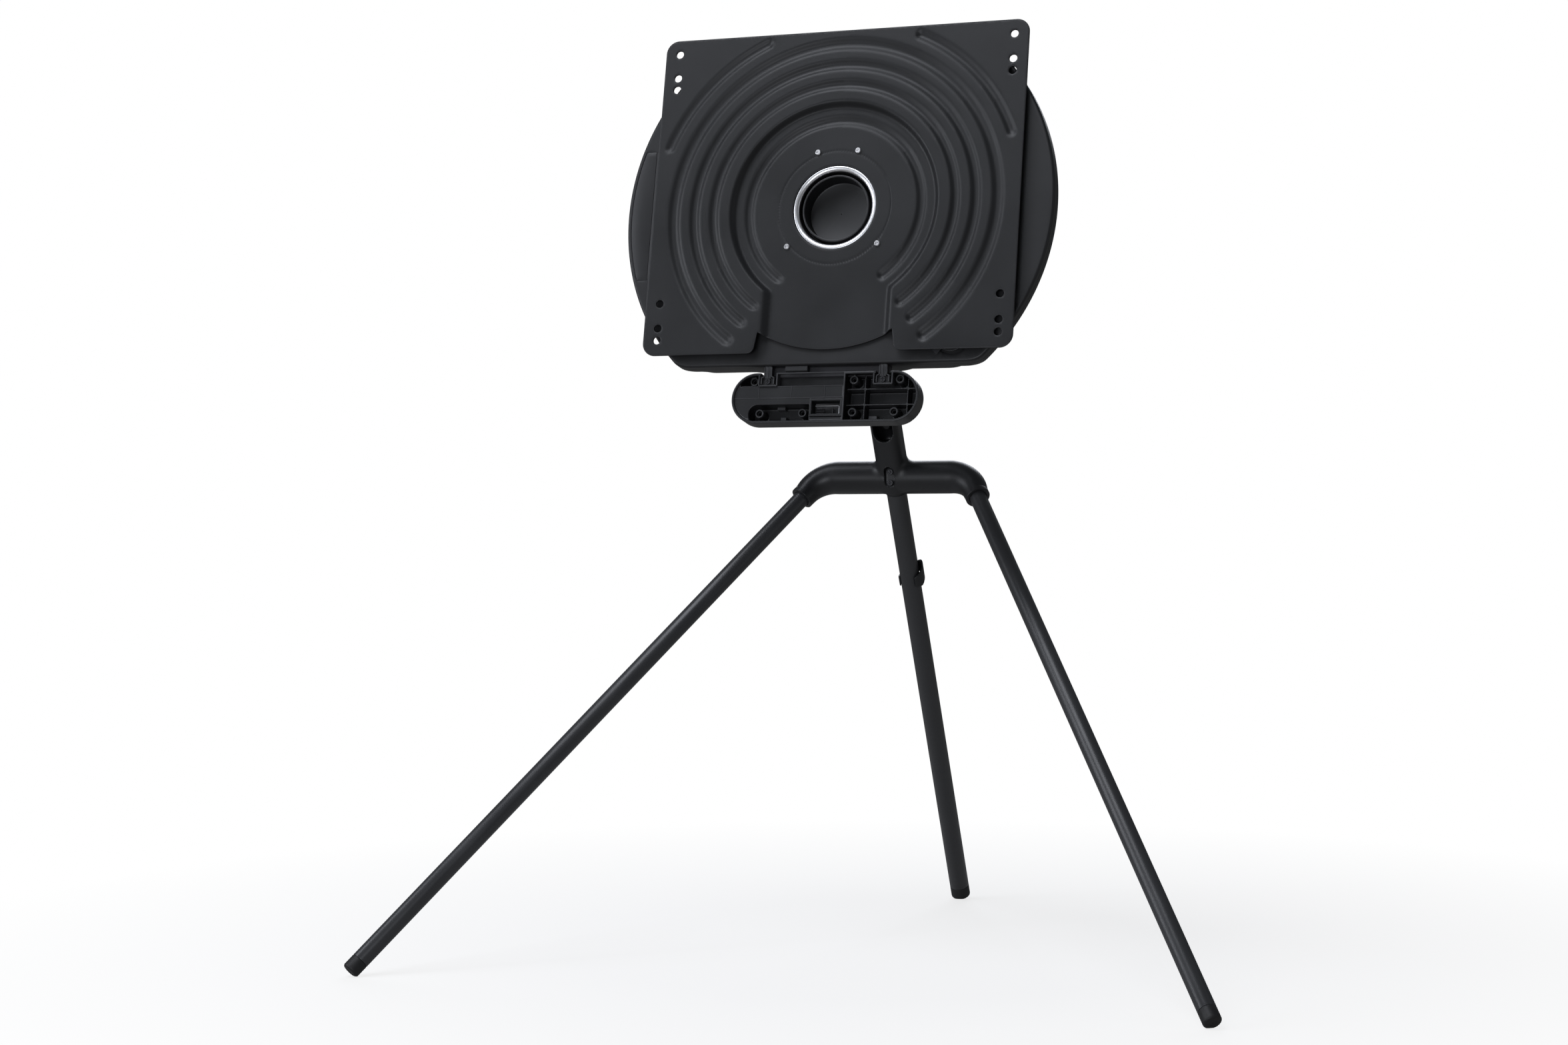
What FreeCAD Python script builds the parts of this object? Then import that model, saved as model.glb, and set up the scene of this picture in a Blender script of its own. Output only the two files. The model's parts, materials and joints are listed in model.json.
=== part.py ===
import FreeCAD, Part
import math
import os

V = FreeCAD.Vector

# Motor-turned television mount on a three-legged stand, in millimetres.
# The stand's frame: origin on the floor under the middle of its footprint, X to the
# viewer's right, Y away from the viewer, Z up.
# The head's frame: origin on the rotor axis at the front face of the mounting plate,
# X right, Y into the head ("depth"), Z up along the plate ("rise").

# ---------------------------------------------------------------- where the head is
HEAD_TILT = 13.0            # degrees that the plate leans back
HEAD_Y = -117.6
HEAD_Z = 847.9

# ---------------------------------------------------------------- mounting plate
SHEET = 2.5
PLATE_HALF_WIDTH = 217.0
PLATE_TOP = 208.0
PLATE_BOTTOM = -170.0
PLATE_CORNER = 15.0
HOLE_COLUMN = 200.0         # half the distance between the two columns of holes
HOLE_ROW = 150.0            # half the distance between the two rows of one pattern
PATTERN_RISES = (-2.0, 12.0, 41.0)
PLATE_HOLE_R = 4.5
DISH_DEPTH = 6.7
DISH_R = 124.0
DISH_WALL = 7.0             # how far the dish's sloping wall runs inwards
CHANNEL_HALF = 76.5
CHANNEL_WALL = 9.0
DISH_LIP_R = 165.5          # the dish's lower edge is an arc about the rotor axis
MOUTH_TOP_HALF = 79.0
MOUTH_HALF = 83.0
MOUTH_CORNER = 9.0
BEAD_ENDS = 143.0           # degrees each way from the top at which the beads stop
BEADS = ((191.5, 15.0, 3.0), (166.5, 13.0, 3.0), (143.0, 12.0, 2.8))   # radius, width, depth
DISH_BEAD = (102.0, 12.0, 2.5)
CORNER_BEAD = (217.0, 12.5, 2.5)
CORNER_BEAD_FROM = 24.8     # degrees from the top
CORNER_BEAD_TO = 69.0
PLATE_BORE_R = 49.2
PLATE_SCREW_CIRCLE = 69.6
PLATE_SCREW_ANGLES = (70.0, 110.0, 220.0, 320.0)
PLATE_SCREW_R = 1.9
PLATE_SCREW_HEAD_R = 3.4
PLATE_SCREW_HEAD = 2.0
STAMPED_LINE_R = 66.5

# ---------------------------------------------------------------- rotor
GAP = 0.1                   # parts that are pressed or screwed together
RUN = 0.05                  # radial clearance of a running fit
TRIM_R = 48.9
TRIM_INNER_R = 43.0
TRIM_FRONT = 7.4
TRIM_BACK = 12.5
HUB_FLANGE_R = 80.0
HUB_FLANGE_BACK = 16.5
SLEEVE_R = 50.0
SLEEVE_BORE_R = 43.4
SLEEVE_BACK = 42.0
GEAR_MODULE = 1.5
GEAR_TEETH = 120
PINION_TEETH = 15
GEAR_WIDTH = 7.0
BACKLASH = 0.25
GEAR_SCREW_CIRCLE = 62.0
GEAR_SCREWS = 6
BALL_R = 3.0
BALL_COUNT = 26
BALL_CIRCLE_R = 57.0
RACE_WIDTH = 10.0
RACE_GAP = 1.8              # from the ball circle to each race's land
RACE_PLAY = 0.1
OUTER_RACE_R = 66.0
RETAINER_WIDTH = 1.5
RETAINER_R = 54.8

# ---------------------------------------------------------------- head
SKIN = 2.5
COVER_FRONT = 10.0
COVER_R = 252.7
COVER_HALF_HEIGHT = 182.0
COVER_CORNER = 30.0
COVER_SPLIT = 19.0
RIM_BACK = 27.0
RIM_RAMP = 16.0             # the rear cover's edge slopes in over this distance
RIM_RAMP_DEPTH = 9.0
SHOULDER_R = 18.0           # the rear cover's shoulder stands this far outside its flat back
SHOULDER_DEPTH = 8.0
TAB = (-48.0, -21.0, 4.5)   # the tab under the front cover: x from and to, and how far it hangs
COVER_BACK = 66.0
BACK_R = 150.0
POCKET_R = 127.0
POCKET_DEPTH = 3.0
CHASSIS_FRONT = 33.5
CHASSIS_SHEET = 3.5
CHASSIS_R = 165.0
SEAT_WALL = 6.0
CUP_R = 39.4
CUP_WALL = 2.5
CUP_RIM = 11.0
CUP_FLOOR = 32.0
CUP_FLANGE_R = 62.0
PANEL_EDGE = -223.0
PANEL_HALF = 77.0
LATCH_X = 144.0
LATCH_RISE = -150.0
LATCH_R = 21.0
HINGE_CLEAR = 4.75          # between the bracket and the neck's knuckle
SHAFT_R = 4.0
GEARBOX_NEAR = 22.0         # from the shaft towards the middle
GEARBOX_FAR = 30.0
GEARBOX_HALF = 26.0
GEARBOX_DEPTH = 11.0
MOTOR_R = 20.0
MOTOR_LENGTH = 12.0
BOARD_PLACE = (-132.0, -78.0, -50.0, 42.0)      # x from and to, rise from and to
BOARD_STANDOFF = 4.0
BOARD_SHEET = 1.6
INLET_PLACE = (-44.0, -16.0, -112.0, -92.0)
EAR = 6.0
EAR_R = 18.0
BRACKET_SHEET = 4.0
BRACKET_BOLT_X = 64.0
BRACKET_BOLT_RISE = 52.0
HINGE_PIN_R = 6.0
FRICTION_WASHER = 2.4

# ---------------------------------------------------------------- accessory tray
TRAY_X = 0.5
TRAY_RISE = -218.4
TRAY_WIDTH = 219.0
TRAY_HEIGHT = 58.0
TRAY_FRONT = 13.0
TRAY_BACK = 39.0
TRAY_WALL = 2.8
TRAY_BACK_ROUND = 6.0
SHELF_DEPTH = 2.0           # the shallow left side's shelf, behind the rim
DIVIDER_X = 24.2            # the deep right side starts here
RIB = 1.6
RIB_XS = (44.7, 94.3)
SEAM = 0.7
SEAM_XS = (-77.0, -38.8, 0.6)
BOSS_INSET = 24.0           # from the tray's ends to its outer bosses
RIB_RISES = (9.5, -8.5)
RIB_DEPTH = 9.0
BOSS_R = 5.0
BOSS_BORE_R = 3.0
BOSS_DEPTH = 6.0
HOOK_X = 67.5
HOOK_HALF = 8.0
HOOK_LOW = TRAY_RISE + 15.0

# ---------------------------------------------------------------- stand
SOCKET_X = 110.2            # where a front leg leaves its socket
SOCKET_Y = 81.7
SOCKET_Z = 518.4
GROUND_X = 479.7            # where a front leg's line meets the floor
GROUND_Y = -381.8
REAR_GROUND_Y = 378.3
FOOT_FLAT = 0.8             # how much of a foot's rounded rim is worn flat on the floor
NECK_LEAN = 26.82           # degrees from upright, of the neck and the rear leg
FRONT_LEG_R = 10.0
REAR_LEG_R = 12.0
LEG_WALL = 1.8
BAR_R = 19.8
BEND_R = 38.0
SOCKET_R = 14.5
SOCKET_DEPTH = 32.0
SOCKET_GAP = 1.2            # the dark ring between a leg and its socket
NECK_WIDTH = 34.5
NECK_CORNER = 12.0
NECK_TOP = 125.0            # along the neck from the bar's middle
NECK_BORE_R = 13.2
SLOT_WIDTH = 24.0
SLOT_BOTTOM = 55.0
SLOT_TOP = 100.0
POST_ALONG = 68.0           # a round post stands inside the neck, behind its slot
POST_FRONT = 1.0
POST_R = 5.0
MAST_TOP_GAP = 22.0         # from the mast's end to the hinge axis
SPIGOT = 20.0
MAST_STEP = 5.0             # the mast's bore widens this far above its lower end
FLANGE_R = 20.5
FLANGE_DROP = 13.5          # how far down the rear leg's line the round flange reaches
REAR_SOCKET_TOP = 6.0       # up the neck's line from the bar's middle
CAP_LENGTH = 16.0
CAP_ROUND = 3.0
CAP_STEM = 14.0
CLIP_HEIGHT = 28.0
CLIP_WALL = 2.0
CLIP_FIT = 0.15
CLIP_OFFSET_X = 3.4         # how far the band's far side stands off the leg
CLIP_OFFSET_Y = 1.5
CLIP_TONGUE_X = 9.0
CLIP_LIP = 6.0
CLIP_PLACE = 131.0          # down the rear leg from the bar's middle
HUB_SCREW_PITCH = 12.7
HUB_SCREW_R = 2.0
HUB_SCREW_HEAD = 2.2
HUB_SCREW_GRIP = 2.0
HUB_SCREW_HEAD_R = 3.5
WELL_HALF = 6.0             # the rounded recess round the two screws
WELL_DEPTH = 4.0

# ---------------------------------------------------------------- worked out from those
TILT = math.radians(HEAD_TILT)
RISE_DIR = V(0, math.sin(TILT), math.cos(TILT))
DEPTH_DIR = V(0, math.cos(TILT), -math.sin(TILT))
HEAD_PLACE = FreeCAD.Placement(V(0, HEAD_Y, HEAD_Z), FreeCAD.Rotation(V(1, 0, 0), -HEAD_TILT))
DISH_BACK = DISH_DEPTH + SHEET
GEAR_FRONT = HUB_FLANGE_BACK
GEAR_BACK = GEAR_FRONT + GEAR_WIDTH
RACE_BACK = GEAR_BACK + RACE_WIDTH
CHASSIS_BACK = CHASSIS_FRONT + CHASSIS_SHEET
PINION_X = GEAR_MODULE * (GEAR_TEETH + PINION_TEETH) / 2
BRACKET_BACK = COVER_BACK + BRACKET_SHEET
HINGE_DEPTH = BRACKET_BACK + HINGE_CLEAR + NECK_WIDTH / 2
LEAN = math.radians(NECK_LEAN)
NECK_DIR = V(0, -math.sin(LEAN), math.cos(LEAN))
NECK_FRONT = V(0, -math.cos(LEAN), -math.sin(LEAN))
REAR_GROUND = V(0, REAR_GROUND_Y, 0)
FRONT_GROUND = V(GROUND_X, GROUND_Y, 0)
SOCKET = V(SOCKET_X, SOCKET_Y, SOCKET_Z)
LEG_DIR = (FRONT_GROUND - SOCKET).normalize()


def bar_height():
    """The height at which the front legs' lines cross the neck's line, seen from the side."""
    leg_slope = LEG_DIR.y / LEG_DIR.z
    neck_slope = NECK_DIR.y / NECK_DIR.z
    rise = REAR_GROUND.y - SOCKET.y + leg_slope * SOCKET.z
    return rise / (leg_slope - neck_slope)


BAR_Z = bar_height()
BAR_Y = SOCKET.y + LEG_DIR.y / LEG_DIR.z * (BAR_Z - SOCKET.z)
BAR_MIDDLE = V(0, BAR_Y, BAR_Z)
ELBOW_X = SOCKET.x + LEG_DIR.x / LEG_DIR.z * (BAR_Z - SOCKET.z)


def on_neck(along):
    return BAR_MIDDLE + NECK_DIR * along


def foot_end(ground, direction, radius):
    """The middle of a leg's end, where its rounded rim just reaches the floor."""
    slant = math.acos(-direction.z)
    inside = radius - CAP_ROUND
    height = inside * math.sin(slant) + CAP_ROUND * (1 - math.cos(slant)) - FOOT_FLAT
    return ground + direction * (height / direction.z)


FRONT_FOOT = foot_end(FRONT_GROUND, LEG_DIR, FRONT_LEG_R)
REAR_FOOT = foot_end(REAR_GROUND, NECK_DIR * -1, REAR_LEG_R)


def hinge_along():
    """How far up the neck its line reaches the hinge's depth in the head."""
    start = (BAR_MIDDLE - V(0, HEAD_Y, HEAD_Z)).dot(DEPTH_DIR)
    return (HINGE_DEPTH - start) / NECK_DIR.dot(DEPTH_DIR)


HINGE_ALONG = hinge_along()
HINGE = on_neck(HINGE_ALONG)
HINGE_RISE = (HINGE - V(0, HEAD_Y, HEAD_Z)).dot(RISE_DIR)
MAST_TOP = HINGE_ALONG - MAST_TOP_GAP


# ---------------------------------------------------------------- shapes in the head's frame
def disc(radius, front, back, x=0.0, rise=0.0):
    return Part.makeCylinder(radius, back - front, V(x, front, rise), V(0, 1, 0))


def ring(inner, outer, front, back):
    return disc(outer, front, back).cut(disc(inner, front - 1, back + 1))


def block(x0, x1, front, back, low, high):
    return Part.makeBox(x1 - x0, back - front, high - low, V(x0, front, low))


def depth_edges(shape):
    return [e for e in shape.Edges if abs(abs(e.tangentAt(e.FirstParameter).y) - 1) < 1e-6]


def rounded_block(x0, x1, front, back, low, high, corner):
    body = block(x0, x1, front, back, low, high)
    return body.makeFillet(corner, depth_edges(body))


def turned(points):
    """A solid of revolution about the rotor axis, from (radius, depth) points."""
    wire = Part.makePolygon([V(r, d, 0) for r, d in points + points[:1]])
    return Part.Face(wire).revolve(V(0, 0, 0), V(0, 1, 0), 360)


def polar(radius, degrees):
    angle = math.radians(degrees)
    return radius * math.cos(angle), radius * math.sin(angle)


def join(shapes):
    return shapes[0].multiFuse(shapes[1:]).removeSplitter()


def solid_of(shape):
    return shape.Solids[0]


def export(name, shape):
    shape.exportStep(os.path.join("parts", name + ".step"))


def head_part(name, shape):
    placed = shape.copy()
    placed.Placement = HEAD_PLACE.multiply(placed.Placement)
    export(name, placed)


# ---------------------------------------------------------------- mounting plate
def channel_outline(radius, half, depth):
    """A circle that opens into a straight channel running down past the plate's edge."""
    low = PLATE_BOTTOM - 20
    join_rise = -math.sqrt(radius ** 2 - half ** 2)
    left, right = V(-half, depth, join_rise), V(half, depth, join_rise)
    arc = Part.Arc(left, V(0, depth, radius), right).toShape()
    lines = [right, V(half, depth, low), V(-half, depth, low), left]
    edges = [arc] + [Part.LineSegment(a, b).toShape() for a, b in zip(lines, lines[1:])]
    return Part.Wire(edges)


def dish(grow, front, back):
    """The space that the dish and its channel take up, between two depths."""
    slope = (back - front) / DISH_DEPTH
    top = channel_outline(DISH_R + grow, CHANNEL_HALF + grow, front)
    floor = channel_outline(DISH_R + grow - DISH_WALL * slope,
                            CHANNEL_HALF + grow - CHANNEL_WALL * slope, back)
    return Part.makeLoft([top, floor], True, True)


def bead(radius, width, depth, floor, first, last, thick):
    """A pressed bead's rounded tool, from one angle to another, with ball ends."""
    swell = (width ** 2 / 4 + depth ** 2) / (2 * depth)
    centre_depth = floor - (swell - depth)
    section_r = swell + thick
    x, rise = polar(radius, first)
    circle = Part.Wire(Part.makeCircle(section_r, V(x, centre_depth, rise),
                                       V(-rise, 0, x)))
    sweep = Part.Face(circle).revolve(V(0, centre_depth, 0), V(0, -1, 0), last - first)
    balls = []
    for angle in (first, last):
        x, rise = polar(radius, angle)
        balls.append(Part.makeSphere(section_r, V(x, centre_depth, rise)))
    return sweep.multiFuse(balls)


def bead_list():
    top = 90.0
    found = [(r, w, d, 0.0, top - BEAD_ENDS, top + BEAD_ENDS) for r, w, d in BEADS]
    r, w, d = DISH_BEAD
    found.append((r, w, d, DISH_DEPTH, top - BEAD_ENDS, top + BEAD_ENDS))
    r, w, d = CORNER_BEAD
    found.append((r, w, d, 0.0, top - CORNER_BEAD_TO, top - CORNER_BEAD_FROM))
    found.append((r, w, d, 0.0, top + CORNER_BEAD_FROM, top + CORNER_BEAD_TO))
    return found


def behind(depth):
    reach = 2 * COVER_R
    return block(-reach, reach, depth, depth + reach, -reach, reach)


def mouth_corners(body):
    """The two edges where the mouth's sides meet the sheet's lower edge."""
    found = []
    for edge in depth_edges(body):
        x, rise = edge.Vertexes[0].Point.x, edge.Vertexes[0].Point.z
        if abs(abs(x) - MOUTH_HALF) < 0.1 and abs(rise - PLATE_BOTTOM) < 0.1:
            found.append(edge)
    return found


def vesa_plate():
    sheet = rounded_block(-PLATE_HALF_WIDTH, PLATE_HALF_WIDTH, 0, SHEET,
                          PLATE_BOTTOM, PLATE_TOP, PLATE_CORNER)
    body = sheet.fuse(dish(SHEET, 0, DISH_BACK))
    for radius, width, depth, floor, first, last in bead_list():
        bump = bead(radius, width, depth, floor, first, last, SHEET).common(behind(floor))
        body = body.fuse(bump)
    body = body.cut(dish(0, -0.001, DISH_DEPTH))
    for radius, width, depth, floor, first, last in bead_list():
        body = body.cut(bead(radius, width, depth, floor, first, last, 0))
    below = PLATE_BOTTOM - 30
    lip_side = -math.sqrt(DISH_LIP_R ** 2 - MOUTH_TOP_HALF ** 2)
    corners = [(-MOUTH_TOP_HALF, 0), (MOUTH_TOP_HALF, 0), (MOUTH_TOP_HALF, lip_side),
               (MOUTH_HALF, PLATE_BOTTOM), (MOUTH_HALF, below), (-MOUTH_HALF, below),
               (-MOUTH_HALF, PLATE_BOTTOM), (-MOUTH_TOP_HALF, lip_side)]
    wire = Part.makePolygon([V(x, -1, rise) for x, rise in corners + corners[:1]])
    mouth = Part.Face(wire).extrude(V(0, DISH_BACK + 10, 0))
    body = body.cut(mouth.cut(disc(DISH_LIP_R, -2, DISH_BACK + 12)))
    body = body.makeFillet(MOUTH_CORNER, mouth_corners(body))
    body = body.cut(disc(PLATE_BORE_R, 0, DISH_BACK + 1))
    body = body.cut(ring(STAMPED_LINE_R - 0.4, STAMPED_LINE_R + 0.4, DISH_DEPTH - 1,
                         DISH_DEPTH + 0.3))
    for column in (-HOLE_COLUMN, HOLE_COLUMN):
        for centre in PATTERN_RISES:
            for row in (-HOLE_ROW, HOLE_ROW):
                body = body.cut(disc(PLATE_HOLE_R, -1, SHEET + 1, column, centre + row))
    for angle in PLATE_SCREW_ANGLES:
        x, rise = polar(PLATE_SCREW_CIRCLE, angle)
        body = body.cut(disc(PLATE_SCREW_R + GAP, 0, DISH_BACK + 1, x, rise))
    return solid_of(body)


def plate_screws():
    screws = []
    for angle in PLATE_SCREW_ANGLES:
        x, rise = polar(PLATE_SCREW_CIRCLE, angle)
        head = disc(PLATE_SCREW_HEAD_R, DISH_DEPTH - PLATE_SCREW_HEAD, DISH_DEPTH, x, rise)
        front_edges = [e for e in head.Edges
                       if e.Curve.TypeId == "Part::GeomCircle" and e.Curve.Center.y < DISH_DEPTH - 1]
        head = head.makeFillet(0.8, front_edges)
        socket = disc(1.4, 0, DISH_DEPTH - 0.6, x, rise)
        shank = disc(PLATE_SCREW_R, DISH_DEPTH, HUB_FLANGE_BACK - 1.2, x, rise)
        screws.append(head.fuse(shank).cut(socket).removeSplitter())
    return Part.makeCompound(screws)


# ---------------------------------------------------------------- rotor
def trim_ring():
    lip = V(TRIM_INNER_R, TRIM_BACK - 1.5, 0)
    crown = V(TRIM_R - 1.2, TRIM_FRONT, 0)
    middle = V(TRIM_INNER_R + 1.6, TRIM_FRONT + 1.5, 0)
    edges = [Part.Arc(lip, middle, crown).toShape()]
    outline = [crown, V(TRIM_R, TRIM_FRONT + 0.6, 0), V(TRIM_R, TRIM_BACK, 0),
               V(TRIM_INNER_R, TRIM_BACK, 0), lip]
    edges += [Part.LineSegment(a, b).toShape() for a, b in zip(outline, outline[1:])]
    return Part.Face(Part.Wire(edges)).revolve(V(0, 0, 0), V(0, 1, 0), 360)


def rotor_hub():
    neck_r = TRIM_R + GAP
    profile = [(neck_r, DISH_BACK), (HUB_FLANGE_R, DISH_BACK), (HUB_FLANGE_R, HUB_FLANGE_BACK),
               (SLEEVE_R, HUB_FLANGE_BACK), (SLEEVE_R, SLEEVE_BACK - 3.5),
               (SLEEVE_R - 1.4, SLEEVE_BACK - 3.5), (SLEEVE_R - 1.4, SLEEVE_BACK - 2),
               (SLEEVE_R, SLEEVE_BACK - 2), (SLEEVE_R, SLEEVE_BACK),
               (SLEEVE_BORE_R, SLEEVE_BACK), (SLEEVE_BORE_R, TRIM_BACK), (neck_r, TRIM_BACK)]
    body = turned(profile)
    for angle in PLATE_SCREW_ANGLES:
        x, rise = polar(PLATE_SCREW_CIRCLE, angle)
        body = body.cut(disc(PLATE_SCREW_R + GAP, 0, HUB_FLANGE_BACK - 1, x, rise))
    for index in range(GEAR_SCREWS):
        x, rise = polar(GEAR_SCREW_CIRCLE, 30 + 60 * index)
        body = body.cut(disc(2 + GAP, DISH_BACK + 1, HUB_FLANGE_BACK + 1, x, rise))
    return body


def involute_point(base_r, angle, turn, mirror):
    x = base_r * (math.cos(angle) + angle * math.sin(angle))
    rise = base_r * (math.sin(angle) - angle * math.cos(angle)) * mirror
    c, s = math.cos(turn), math.sin(turn)
    return x * c - rise * s, x * s + rise * c


def gear(teeth, front, width, turn, centre_x):
    """A spur gear with involute flanks; `turn` is the angle of one tooth's middle."""
    pitch_r = GEAR_MODULE * teeth / 2
    base_r = pitch_r * math.cos(math.radians(20))
    tip_r = pitch_r + GEAR_MODULE
    root_r = pitch_r - 1.25 * GEAR_MODULE
    start_r = max(base_r, root_r)
    pitch_roll = math.sqrt((pitch_r / base_r) ** 2 - 1)
    half_tooth = (math.pi * GEAR_MODULE / 2 - BACKLASH) / 2 / pitch_r
    flank_turn = half_tooth + pitch_roll - math.atan(pitch_roll)
    rolls = []
    for step in range(5):
        radius = start_r + (tip_r - start_r) * step / 4
        rolls.append(math.sqrt(max(0.0, (radius / base_r) ** 2 - 1)))
    points = []
    for tooth in range(teeth):
        middle = turn + 2 * math.pi * tooth / teeth
        low = [involute_point(base_r, roll, middle - flank_turn, 1) for roll in rolls]
        high = [involute_point(base_r, roll, middle + flank_turn, -1) for roll in reversed(rolls)]
        if root_r < start_r - 1e-6:
            shrink = root_r / start_r
            low.insert(0, (low[0][0] * shrink, low[0][1] * shrink))
            high.append((high[-1][0] * shrink, high[-1][1] * shrink))
        points += low + high
    wire = Part.makePolygon([V(x + centre_x, front, rise) for x, rise in points + points[:1]])
    return Part.Face(wire).extrude(V(0, width, 0))


def ring_gear():
    body = gear(GEAR_TEETH, GEAR_FRONT, GEAR_WIDTH, 0.0, 0.0)
    body = body.cut(disc(SLEEVE_R + GAP, GEAR_FRONT - 1, GEAR_BACK + 1))
    for index in range(GEAR_SCREWS):
        x, rise = polar(GEAR_SCREW_CIRCLE, 30 + 60 * index)
        body = body.cut(disc(2 + GAP, GEAR_FRONT - 1, GEAR_BACK + 1, x, rise))
        body = body.cut(disc(3.6 + GAP, GEAR_BACK - 3.2, GEAR_BACK + 1, x, rise))
    x, rise = polar(81.0, 200)
    return body.fuse(disc(2.5, GEAR_BACK - 0.5, GEAR_BACK + 3.5, x, rise))


def gear_screws():
    screws = []
    for index in range(GEAR_SCREWS):
        x, rise = polar(GEAR_SCREW_CIRCLE, 30 + 60 * index)
        head = disc(3.6, GEAR_BACK - 3.2, GEAR_BACK - 0.2, x, rise)
        shank = disc(2, DISH_BACK + 1.5, GEAR_BACK - 3.2, x, rise)
        screws.append(head.fuse(shank).removeSplitter())
    return Part.makeCompound(screws)


def ball_groove():
    return Part.makeTorus(BALL_CIRCLE_R, BALL_R + RACE_PLAY,
                          V(0, GEAR_BACK + RACE_WIDTH / 2, 0), V(0, 1, 0))


def inner_race():
    return ring(SLEEVE_R + GAP, BALL_CIRCLE_R - RACE_GAP, GEAR_BACK, RACE_BACK).cut(ball_groove())


def outer_race():
    race = ring(BALL_CIRCLE_R + RACE_GAP, OUTER_RACE_R, GEAR_BACK + 1, RACE_BACK)
    return race.cut(ball_groove())


def balls(radius):
    made = []
    for index in range(BALL_COUNT):
        x, rise = polar(BALL_CIRCLE_R, 360.0 * index / BALL_COUNT)
        made.append(Part.makeSphere(radius, V(x, GEAR_BACK + RACE_WIDTH / 2, rise)))
    return made


def bearing_cage():
    cage = ring(BALL_CIRCLE_R - 0.9, BALL_CIRCLE_R + 0.9, GEAR_BACK + 1.2, RACE_BACK - 0.5)
    middle = GEAR_BACK + RACE_WIDTH / 2
    for index in range(BALL_COUNT):
        x, rise = polar(1.0, 360.0 * index / BALL_COUNT)
        cage = cage.cut(Part.makeCylinder(BALL_R + 0.15, 2 * BALL_CIRCLE_R, V(0, middle, 0),
                                          V(x, 0, rise)))
    return cage


def bearing_spacer():
    return ring(SLEEVE_R + GAP, RETAINER_R, RACE_BACK, SLEEVE_BACK - 3.5)


def retaining_ring():
    front = SLEEVE_BACK - 3.5
    hoop = ring(SLEEVE_R - 1.4 + GAP, RETAINER_R, front, front + RETAINER_WIDTH)
    return hoop.cut(block(-5, 5, front - 1, front + 3, 0, 2 * RETAINER_R))


def pinion():
    turn = math.pi + math.pi / PINION_TEETH
    body = gear(PINION_TEETH, GEAR_FRONT, GEAR_WIDTH, turn, PINION_X)
    return body.cut(disc(SHAFT_R + GAP, GEAR_FRONT - 1, GEAR_BACK + 1, PINION_X))


def drive_shaft():
    return disc(SHAFT_R, GEAR_FRONT, CHASSIS_BACK + 8.3, PINION_X)


# ---------------------------------------------------------------- head
def cover_outline(inset, front, back):
    body = disc(COVER_R - inset, front, back)
    reach = COVER_R + 10
    half = COVER_HALF_HEIGHT - inset
    body = body.common(block(-reach, reach, front - 1, back + 1, -half, half))
    return body.makeFillet(COVER_CORNER - inset, depth_edges(body))


def cover_posts(front, back, radius):
    posts = []
    for index in range(6):
        x, rise = polar(CHASSIS_R - 20, 30 + 60 * index)
        posts.append(disc(radius, front, back, x, rise))
    return posts


def front_face_edges(shape, depth):
    return [e for e in shape.Edges
            if all(abs(p.y - depth) < 1e-6 for p in e.discretize(5)) and e.Length > 0.5]


def panel_space(grow, front, back):
    inner = cover_outline(5.0 - grow, front, back)
    return inner.common(block(-COVER_R, PANEL_EDGE + grow, front, back,
                              -PANEL_HALF - grow, PANEL_HALF + grow))


def housing_front():
    outer = cover_outline(0, COVER_FRONT, COVER_SPLIT)
    outer = outer.makeFillet(3.0, front_face_edges(outer, COVER_FRONT))
    body = outer.cut(cover_outline(SKIN, COVER_FRONT + SKIN, COVER_SPLIT + 1))
    pocket_floor = COVER_FRONT + POCKET_DEPTH
    body = body.fuse(disc(POCKET_R + SKIN, COVER_FRONT + SKIN, pocket_floor + SKIN))
    body = body.cut(disc(POCKET_R, COVER_FRONT - 1, pocket_floor))
    body = body.cut(disc(HUB_FLANGE_R + 2, COVER_FRONT - 1, pocket_floor + SKIN + 1))
    panel_back = COVER_FRONT + 2.2
    backing = panel_space(4.0, COVER_FRONT + SKIN, panel_back + SKIN)
    body = body.fuse(backing).cut(panel_space(0.3, COVER_FRONT - 1, panel_back))
    body = body.fuse(disc(LATCH_R + SKIN, COVER_FRONT + SKIN, COVER_FRONT + 6, LATCH_X, LATCH_RISE))
    body = body.cut(disc(LATCH_R, COVER_FRONT - 1, COVER_FRONT + 3.5, LATCH_X, LATCH_RISE))
    x0, x1, hang = TAB
    tab = block(x0, x1, COVER_FRONT + 3, COVER_SPLIT - 1,
                -COVER_HALF_HEIGHT - hang, -COVER_HALF_HEIGHT + 1)
    body = body.fuse(tab)
    body = body.multiFuse(cover_posts(COVER_FRONT + SKIN, CHASSIS_FRONT, 6))
    for hole in cover_posts(CHASSIS_FRONT - 14, CHASSIS_FRONT + 1, 2 + GAP):
        body = body.cut(hole)
    return solid_of(body)


def side_panel():
    return solid_of(panel_space(0, COVER_FRONT, COVER_FRONT + 2.2))


def cable_latch():
    front = COVER_FRONT + 0.8
    back = COVER_FRONT + 3.5
    body = disc(LATCH_R - 1.2, front, back, LATCH_X, LATCH_RISE)
    body = body.cut(disc(LATCH_R - 7, front - 1, front + 1.4, LATCH_X, LATCH_RISE))
    bar = block(LATCH_X - LATCH_R + 5, LATCH_X + LATCH_R - 5, front, back - 0.5,
                LATCH_RISE - 3, LATCH_RISE + 3)
    return body.fuse(bar).removeSplitter()


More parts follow.
